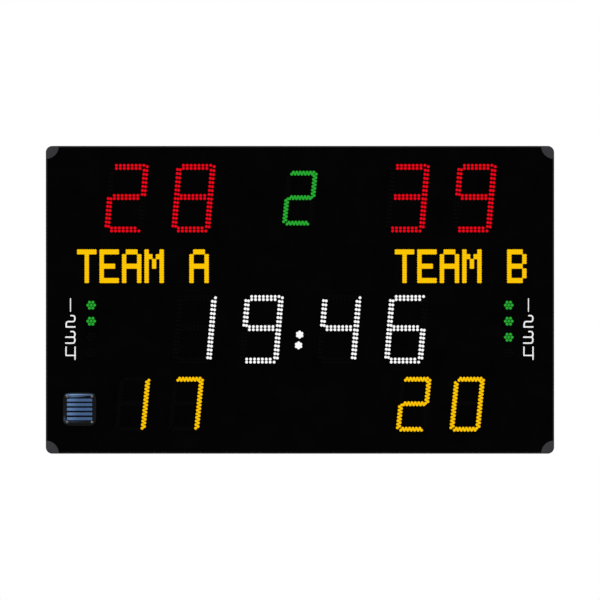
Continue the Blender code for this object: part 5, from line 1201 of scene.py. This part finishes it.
@dataclass
class Cabinet:
    """Folded steel cabinet with its seal, wall rail, rivets, vent screens and wall screws."""

    half_width: float = 0.9117
    top_z: float = 0.1217
    bottom_z: float = -0.9757
    back_y: float = -0.020
    rivet_pitch: float = 0.150
    rivet_rows_y: tuple[float, float] = (-0.030, -0.062)
    vent_centre: tuple[float, float] = (0.6, -0.3)
    vent_size: tuple[float, float] = (0.150, 0.084)
    wall_screw_x: tuple[float, ...] = (-0.3, -0.1, 0.1, 0.3)

    def build(self, shop: Workshop) -> None:
        """Make the cabinet's pieces."""
        for side in ("top", "bottom", "left", "right"):
            shop.softened("cabinet_" + side, 0.8, CABINET_COAT, "cabinet")
        shop.softened("back_panel", 0.4, CABINET_COAT, "cabinet")
        shop.softened("door_seal", 0.8, EPDM, "cabinet")
        for side in ("left", "right"):
            shop.softened("buffer_" + side, 2.0, BUFFER_RUBBER, "cabinet")
        shop.softened("hanger_rail", 0.6, ZINC, "cabinet")
        shop.softened("wall_rail", 0.6, ZINC, "wall")
        self.build_rivets(shop)
        self.build_vent_screens(shop)
        self.build_wall_screws(shop)

    def build_rivets(self, shop: Workshop) -> None:
        """Domed rivets along the folds; a dome's height is its rise times 1 - 0.9 (r / R) ** 2."""
        share = np.array([1.0, 0.8, 0.5, 0.2])
        heights = 1.1 * MM * (1.0 - share ** 2 * 0.9)
        rivet = {axis: head_shape(2.6 * MM, share, heights, foot=-0.2 * MM, axis=axis, steps=12)
                 for axis in ("x", "-x", "y", "z", "-z")}
        z = np.arange(self.bottom_z + 0.06, self.top_z - 0.05, self.rivet_pitch)
        x = np.arange(-self.half_width + 0.06, self.half_width - 0.05, self.rivet_pitch)
        shell = Shell()
        for side, axis in ((-1, "-x"), (1, "x")):
            for y in self.rivet_rows_y:
                shell.add_copies(rivet[axis], points_at(side * self.half_width, y, z))
            shell.add_copies(rivet["y"], points_at(side * (self.half_width - 0.011), self.back_y, z))
        shell.add_copies(rivet["z"], points_at(x, self.rivet_rows_y[0], self.top_z))
        shell.add_copies(rivet["-z"], points_at(x, self.rivet_rows_y[0], self.bottom_z))
        shell.add_copies(rivet["y"], points_at(x, self.back_y, self.bottom_z + 0.012))
        shop.piece("cabinet_rivets", shell, CABINET_COAT, "cabinet", "cabinet_metal")

    def build_vent_screens(self, shop: Workshop) -> None:
        """Wire screens in their frames inside the back panel, behind the two groups of vent slots."""
        x, z = self.vent_centre
        shell = Shell()
        for side in (-1, 1):
            shell.add_loft(stepped_loops((side * x, z), ((*self.vent_size, 4 * MM, 85.5 * MM),
                                                         (*self.vent_size, 4 * MM, 83.0 * MM))))
        shop.piece("vent_dust_screens", shell, DUST_SCREEN, "cabinet", "cabinet_metal")

    def build_wall_screws(self, shop: Workshop) -> None:
        """Hex-headed screws with washers through the wall rail, each head cut back at its end."""
        washer = np.array([(7.0, 2.9), (8.0, 3.0), (8.0, 4.2), (7.4, 4.5)]) * MM
        corner = 5.0 / math.cos(math.pi / 6)
        head = np.array([(corner, 4.4), (corner, 8.31), (corner - 0.8, 9.0)]) * MM
        shell = Shell()
        for x in self.wall_screw_x:
            shell.add_loft(turned_grid(washer, (x, 0.0, 0.0), "-y", steps=24))
            shell.add_loft(turned_grid(head, (x, 0.0, 0.0), "-y", steps=6, first=math.pi / 6))
        shop.piece("wall_rail_screws", shell, ZINC, "wall", "zinc_steel")


# Hardware


@dataclass
class Hardware:
    """Hinge, stays, locks, glands and the horn's driver."""

    gland_x: tuple[float, float] = (0.300, 0.380)
    gland_y: float = -0.050
    drop_mm: float = 8.3
    floor_z: float = -0.9757
    hinge_screws: int = 23
    hinge_reach: float = 0.82
    hinge_leaf: tuple[float, float] = (-0.057, 0.1235)

    def build(self, shop: Workshop) -> None:
        """Make the fittings' pieces."""
        shop.softened("hinge_leaf_cabinet", 0.2, STAINLESS, "cabinet")
        shop.softened("hinge_leaf_door", 0.2, STAINLESS, "door")
        shop.softened("hinge_pin", 0.3, STAINLESS, "cabinet")
        for side in ("left", "right"):
            shop.softened("guide_rail_" + side, 0.4, ZINC, "cabinet")
            shop.softened("stay_bracket_" + side, 0.3, ZINC, "door")
            shop.softened("stay_arm_" + side, 0.4, STAINLESS, "stay_" + side)
            shop.softened("lock_housing_" + side, 0.4, ZINC, "cabinet")
            shop.softened("lock_cam_" + side, 0.3, STAINLESS, "cam_" + side)
            shop.softened("lock_strike_" + side, 0.4, ZINC, "door")
        shop.softened("horn_driver", 0.8, DRIVER_PAINT, "door")
        self.build_hinge_screws(shop)
        self.build_glands(shop)

    def build_hinge_screws(self, shop: Workshop) -> None:
        """Low round screw heads along the hinge's leaf on the cabinet's top."""
        share = np.array([1.0, 0.85, 0.55, 0.2])
        heights = 1.5 * MM * np.sqrt(1.0 - 0.8 * share ** 2)
        head = head_shape(3.2 * MM, share, heights, foot=-0.2 * MM, axis="z", steps=16)
        shell = Shell()
        x = np.linspace(-self.hinge_reach, self.hinge_reach, self.hinge_screws)
        shell.add_copies(head, points_at(x, *self.hinge_leaf))
        shop.piece("hinge_screws", shell, STAINLESS, "cabinet", "bright_steel")

    def build_glands(self, shop: Workshop) -> None:
        """Cable glands: hex body and lock nut, ribbed dome cap and a rubber sleeve with its bore.

        The cap's radius is 11 mm times 1 + 0.03 cos(12 * angle), less towards its mouth. Levels
        count upwards in millimetres from a drop of 8.3 mm below the cabinet's floor.
        """
        angle = circle(72)
        hexagon = 11.0 * MM / np.cos((angle + math.pi / 6) % (math.pi / 3) - math.pi / 6)
        ribbed = 11.0 * MM * (1.0 + 0.03 * np.cos(12 * angle))
        bore, thread = 5.8 * MM, 9.6 * MM
        rings = ((bore, 0.5), (ribbed * 0.8, 0.5), (ribbed * 0.94, 1.2), (ribbed, 2.6), (ribbed, 4.6),
                 (hexagon * 0.97, 4.8), (hexagon, 5.1), (hexagon, 7.6), (thread, 7.6), (thread, 10.6),
                 (hexagon * 0.97, 10.8), (hexagon, 11.2), (hexagon, 14.8), (hexagon * 0.97, 15.3),
                 (thread, 15.3), (thread, 18.9), (thread * 0.97, 19.3), (bore, 19.3))
        cosine, sine = np.cos(angle), np.sin(angle)
        body = np.stack([points_at(radius * cosine, radius * sine, (level - self.drop_mm) * MM)
                         for radius, level in rings])
        lip = np.array([(3.6, 1.4), (4.6, 0.7), (5.7, 1.0), (5.7, 18.8), (3.6, 18.8)]) * MM
        lip[:, 1] -= self.drop_mm * MM
        for node, x in zip(("mains_gland", "data_gland"), self.gland_x):
            centre = np.array([x, self.gland_y, self.floor_z])
            shell, sleeve = Shell(), Shell()
            shell.add_grid(body + centre, wrap_rows=True, wrap_columns=True)
            shop.piece(node + "_body", shell, GLAND_PA, "cabinet", "nylon_black", (node,))
            sleeve.add_grid(turned_grid(lip, centre, "z", steps=36), wrap_rows=True, wrap_columns=True)
            shop.piece(node + "_sleeve", sleeve, BUFFER_RUBBER, "cabinet", "rubber")


# Electronics


@dataclass
class Electronics:
    """What the opened door shows: supply, control board, breaker, terminals, radio and wiring."""

    middle_z: float = -0.700
    panel_y: float = -0.0243
    controller_x: float = -0.300
    controller_size: tuple[float, float] = (0.180, 0.120)
    supply_x: float = 0.020
    supply_depth: float = 0.034
    terminal_x: float = 0.400
    terminals: int = 9

    def build(self, shop: Workshop) -> None:
        """Make the inner pieces."""
        for node, edge_mm, finish, body, slot in (
                ("din_rail", 0.3, ZINC, "cabinet", "zinc_steel"),
                ("power_supply", 0.6, ZINC, "cabinet", "zinc_steel"),
                ("terminal_block", 0.4, DEVICE_GREY, "cabinet", "device_grey"),
                ("breaker_body", 0.5, DEVICE_GREY, "cabinet", "device_grey"),
                ("breaker_toggle", 0.5, DEVICE_BLACK, "toggle", "nylon_black"),
                ("radio_module", 0.8, DEVICE_GREY, "cabinet", "device_grey"),
                ("loom_cabinet", 0.5, WIRE_PVC, "cabinet", "nylon_black")):
            shop.softened(node, edge_mm, finish, body)
        self.build_controller(shop)
        self.build_terminal_screws(shop)
        self.build_wires(shop)

    def build_controller(self, shop: Workshop) -> None:
        """Control board on brass standoffs, with chips, relays and pluggable terminals.

        The board is 1.6 mm thick and stands 8 mm off the panel. Each block on it is given by its
        middle across and up, its width, height and rise, all in millimetres.
        """
        panel = self.panel_y - 0.3 * MM
        front = panel - 8 * MM - 1.6 * MM - DOOR_FRONT_Y
        width, height = self.controller_size
        board, chips, relays, posts = Shell(), Shell(), Shell(), Shell()
        board.add_loft(stepped_loops((self.controller_x, self.middle_z), (
            (width, height, 3 * MM, front + 1.6 * MM), (width, height, 3 * MM, front + 0.2 * MM),
            (width - 0.4 * MM, height - 0.4 * MM, 3 * MM, front))))
        for across, up, wide, high, rise, kind in (
                (10, 5, 28, 28, 3, chips), (-55, 30, 30, 16, 14, relays), (-55, 0, 30, 16, 14, relays),
                (-55, -30, 30, 16, 14, relays), (60, 20, 12, 50, 9, relays), (60, -35, 12, 30, 9, relays),
                (10, -40, 50, 10, 10, chips), (-15, 42, 14, 10, 2, chips), (30, 42, 18, 10, 2, chips)):
            kind.add_copies(box_shape(wide * MM, rise * MM, high * MM),
                            np.array([[self.controller_x + across * MM, DOOR_FRONT_Y + front - rise / 2 * MM,
                                       self.middle_z + up * MM]]))
        post = np.array([(1.5, -0.2), (3.4, 0.0), (3.4, 8.0), (1.5, 8.2)]) * MM
        corners = np.array([(side_x * (width / 2 - 8 * MM), 0.0, side_z * (height / 2 - 8 * MM))
                            for side_x in (-1, 1) for side_z in (-1, 1)])
        posts.add_copies(turned_shape(post, "-y", steps=6),
                         corners + np.array([self.controller_x, panel, self.middle_z]))
        shop.piece("controller_circuit", board, BOARD_MASK, "cabinet", "circuit_green", ("controller_board",))
        shop.piece("controller_chips", chips, CHIP_EPOXY, "cabinet", "nylon_black")
        shop.piece("controller_relays", relays, DEVICE_BLACK, "cabinet", "nylon_black")
        shop.piece("controller_standoffs", posts, BRASS, "cabinet", "bright_steel")

    def build_terminal_screws(self, shop: Workshop) -> None:
        """Clamp screws: two rows on the terminal block and one in the notch at the supply's lower edge."""
        heights = np.array([0.6, 0.9, 1.0]) * MM
        head = head_shape(2.2 * MM, np.array([1.0, 0.7, 0.3]), heights, foot=-1.0 * MM, axis="-y", steps=12)
        steps = np.arange(self.terminals) - (self.terminals - 1) / 2
        block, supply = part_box("terminal_block")[0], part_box("power_supply")[0]
        shell = Shell()
        for z in (-6 * MM, 6 * MM):
            shell.add_copies(head, points_at(self.terminal_x + steps * 8 * MM, block.y, self.middle_z + z))
        shell.add_copies(head, points_at(self.supply_x + steps * 14 * MM, supply.y + self.supply_depth / 3,
                                         supply.z + 6 * MM))
        shop.piece("terminal_screws", shell, ZINC, "cabinet", "zinc_steel")

    def build_wires(self, shop: Workshop) -> None:
        """Wires clipped to the panel, from the glands to the terminals and board and between devices.

        A clip holds every fourth of the curve's points that lie within 1.5 mm of the wires' level.
        """
        y, low = self.panel_y - 6 * MM, self.middle_z - 0.14
        routes = [[(0.300, -0.050, -0.957), (0.300, -0.045, -0.90), (0.345, y, -0.86), (0.385, y, -0.80),
                   (0.385, y, -0.740), (0.385, -0.036, -0.7215)],
                  [(0.380, -0.050, -0.957), (0.380, -0.045, -0.91), (0.300, y, low - 0.02),
                   (-0.180, y, low - 0.02), (-0.240, y, low + 0.03), (-0.240, -0.036, -0.758)],
                  [(-0.040, -0.040, -0.7585), (-0.040, y, -0.80), (-0.10, y, low + 0.025),
                   (-0.225, y, low + 0.025), (-0.262, y, low + 0.05), (-0.262, -0.034, -0.758)],
                  [(0.2845, -0.045, -0.741), (0.2845, y, -0.775), (0.240, y, low + 0.03),
                   (0.110, y, low + 0.03), (0.070, y, -0.80), (0.070, -0.040, -0.7585)],
                  [(-0.300, -0.036, -0.6395), (-0.300, -0.030, -0.60), (-0.300, -0.030, -0.56),
                   (-0.300, -0.034, -0.5230)]]
        paths = [smooth_path(route, per_span=8) for route in routes]
        wires, clips = Shell(), Shell()
        for path in paths:
            wires.add_loft(tube_grid(path, width=5.0 * MM, thickness=5.0 * MM, around=12))
        shop.piece("cabinet_wires", wires, WIRE_PVC, "cabinet", "nylon_black")
        held = np.concatenate([path[np.abs(path[:, 1] - y) < 1.5 * MM][2::4] for path in paths])
        clips.add_copies(box_shape(11 * MM, 9 * MM, 11 * MM),
                         points_at(held[:, 0], self.panel_y - 4.5 * MM, held[:, 2]))
        shop.piece("cabinet_wire_clips", clips, DEVICE_BLACK, "cabinet", "nylon_black", smooth=False)


# Studio


@dataclass
class Studio:
    """Camera at the photograph's viewpoint, plain light, pale floor and white background."""

    lens_mm: float = 200.0
    sensor_mm: float = 36.0
    view_width: float = 2.172
    middle: tuple[float, float] = (0.0001, -0.4277)
    floor_x: tuple[float, float] = (-3.2, 3.2)
    floor_y: tuple[float, float] = (-4.2, 1.9)
    floor_z: float = -1.70
    world_light: float = 0.55

    def build(self) -> None:
        """Set up everything round the board."""
        bpy.context.scene.view_settings.view_transform = "Standard"
        self.build_camera()
        self.build_world()
        self.build_sun("key_sun", strength=1.35, turn=(52.0, 0.0, -32.0), softness=14.0)
        self.build_sun("fill_sun", strength=0.35, turn=(70.0, 0.0, 48.0), softness=40.0)
        self.build_floor()

    @staticmethod
    def place(name: str, data: bpy.types.ID) -> Thing:
        """Put a camera, a lamp or a mesh into the scene and return its object."""
        thing = bpy.data.objects.new(name, data)
        bpy.context.scene.collection.objects.link(thing)
        return thing

    def build_camera(self) -> None:
        """Long lens straight in front of the board, as far off as its view's width needs.

        The distance is the view's width times the lens over the sensor's width.
        """
        data = bpy.data.cameras.new("camera")
        data.lens, data.sensor_width, data.clip_end = self.lens_mm, self.sensor_mm, 100.0
        camera = self.place("camera", data)
        distance = self.view_width * self.lens_mm / self.sensor_mm
        camera.location = (self.middle[0], DOOR_FRONT_Y - distance, self.middle[1])
        camera.rotation_euler = (math.pi / 2, 0.0, 0.0)
        bpy.context.scene.camera = camera

    def build_world(self) -> None:
        """Plain light from all round, which the camera and mirrors see as white."""
        world = bpy.data.worlds.new("plain_white_studio")
        bpy.context.scene.world = world
        world.use_nodes = True
        tree = world.node_tree
        ray = add_node(tree, "LightPath").outputs
        clear = ray["Is Camera Ray"]
        for kind in ("Is Glossy Ray", "Is Transmission Ray"):
            clear = add_node(tree, "Math", {"operation": "MAXIMUM", "Value": clear,
                                            "Value_001": ray[kind]}).outputs["Value"]
        strength = add_node(tree, "MapRange", {"To Min": self.world_light, "To Max": 1.0,
                                               "Value": clear}).outputs["Result"]
        background = tree.nodes["Background"].inputs
        feed(background["Color"], (1.0, 1.0, 1.0, 1.0))
        feed(background["Strength"], strength)

    def build_sun(self, name: str, strength: float, turn: Sequence[float], softness: float) -> None:
        """Distant lamp, turned by these degrees about X, Y and Z, that spreads over softness degrees."""
        data = bpy.data.lights.new(name, "SUN")
        data.energy, data.angle = strength, math.radians(softness)
        self.place(name, data).rotation_euler = [math.radians(angle) for angle in turn]

    def build_floor(self) -> None:
        """Pale floor below the view: a flat grid whose far edge the front camera doesn't reach."""
        x, y = np.meshgrid(np.linspace(*self.floor_x, 9), np.linspace(*self.floor_y, 9), indexing="ij")
        shell = Shell()
        shell.add_grid(points_at(x, y, self.floor_z)[:, ::-1])
        floor = self.place("studio_floor", shell.mesh("studio_floor"))
        floor.data.materials.append(FLOOR_PAINT.material())


def main() -> None:
    """Build the scoreboard's looks on its frame, and the studio round it."""
    logging.basicConfig(level=logging.INFO, format="%(message)s")
    kept = set(frame["nodes"].values()) | set(frame["bodies"].values())
    for thing in list(bpy.data.objects):
        if thing not in kept and thing.type in ("MESH", "CAMERA", "LIGHT"):
            bpy.data.objects.remove(thing, do_unlink=True)
    Studio().build()
    shop = Workshop()
    for part in (Displays(), DoorFront(), HornGrille(), Cabinet(), Hardware(), Electronics()):
        part.build(shop)
    LOG.info("%d pieces made", shop.made)
    bpy.context.view_layer.update()


if __name__ == "__main__":
    main()
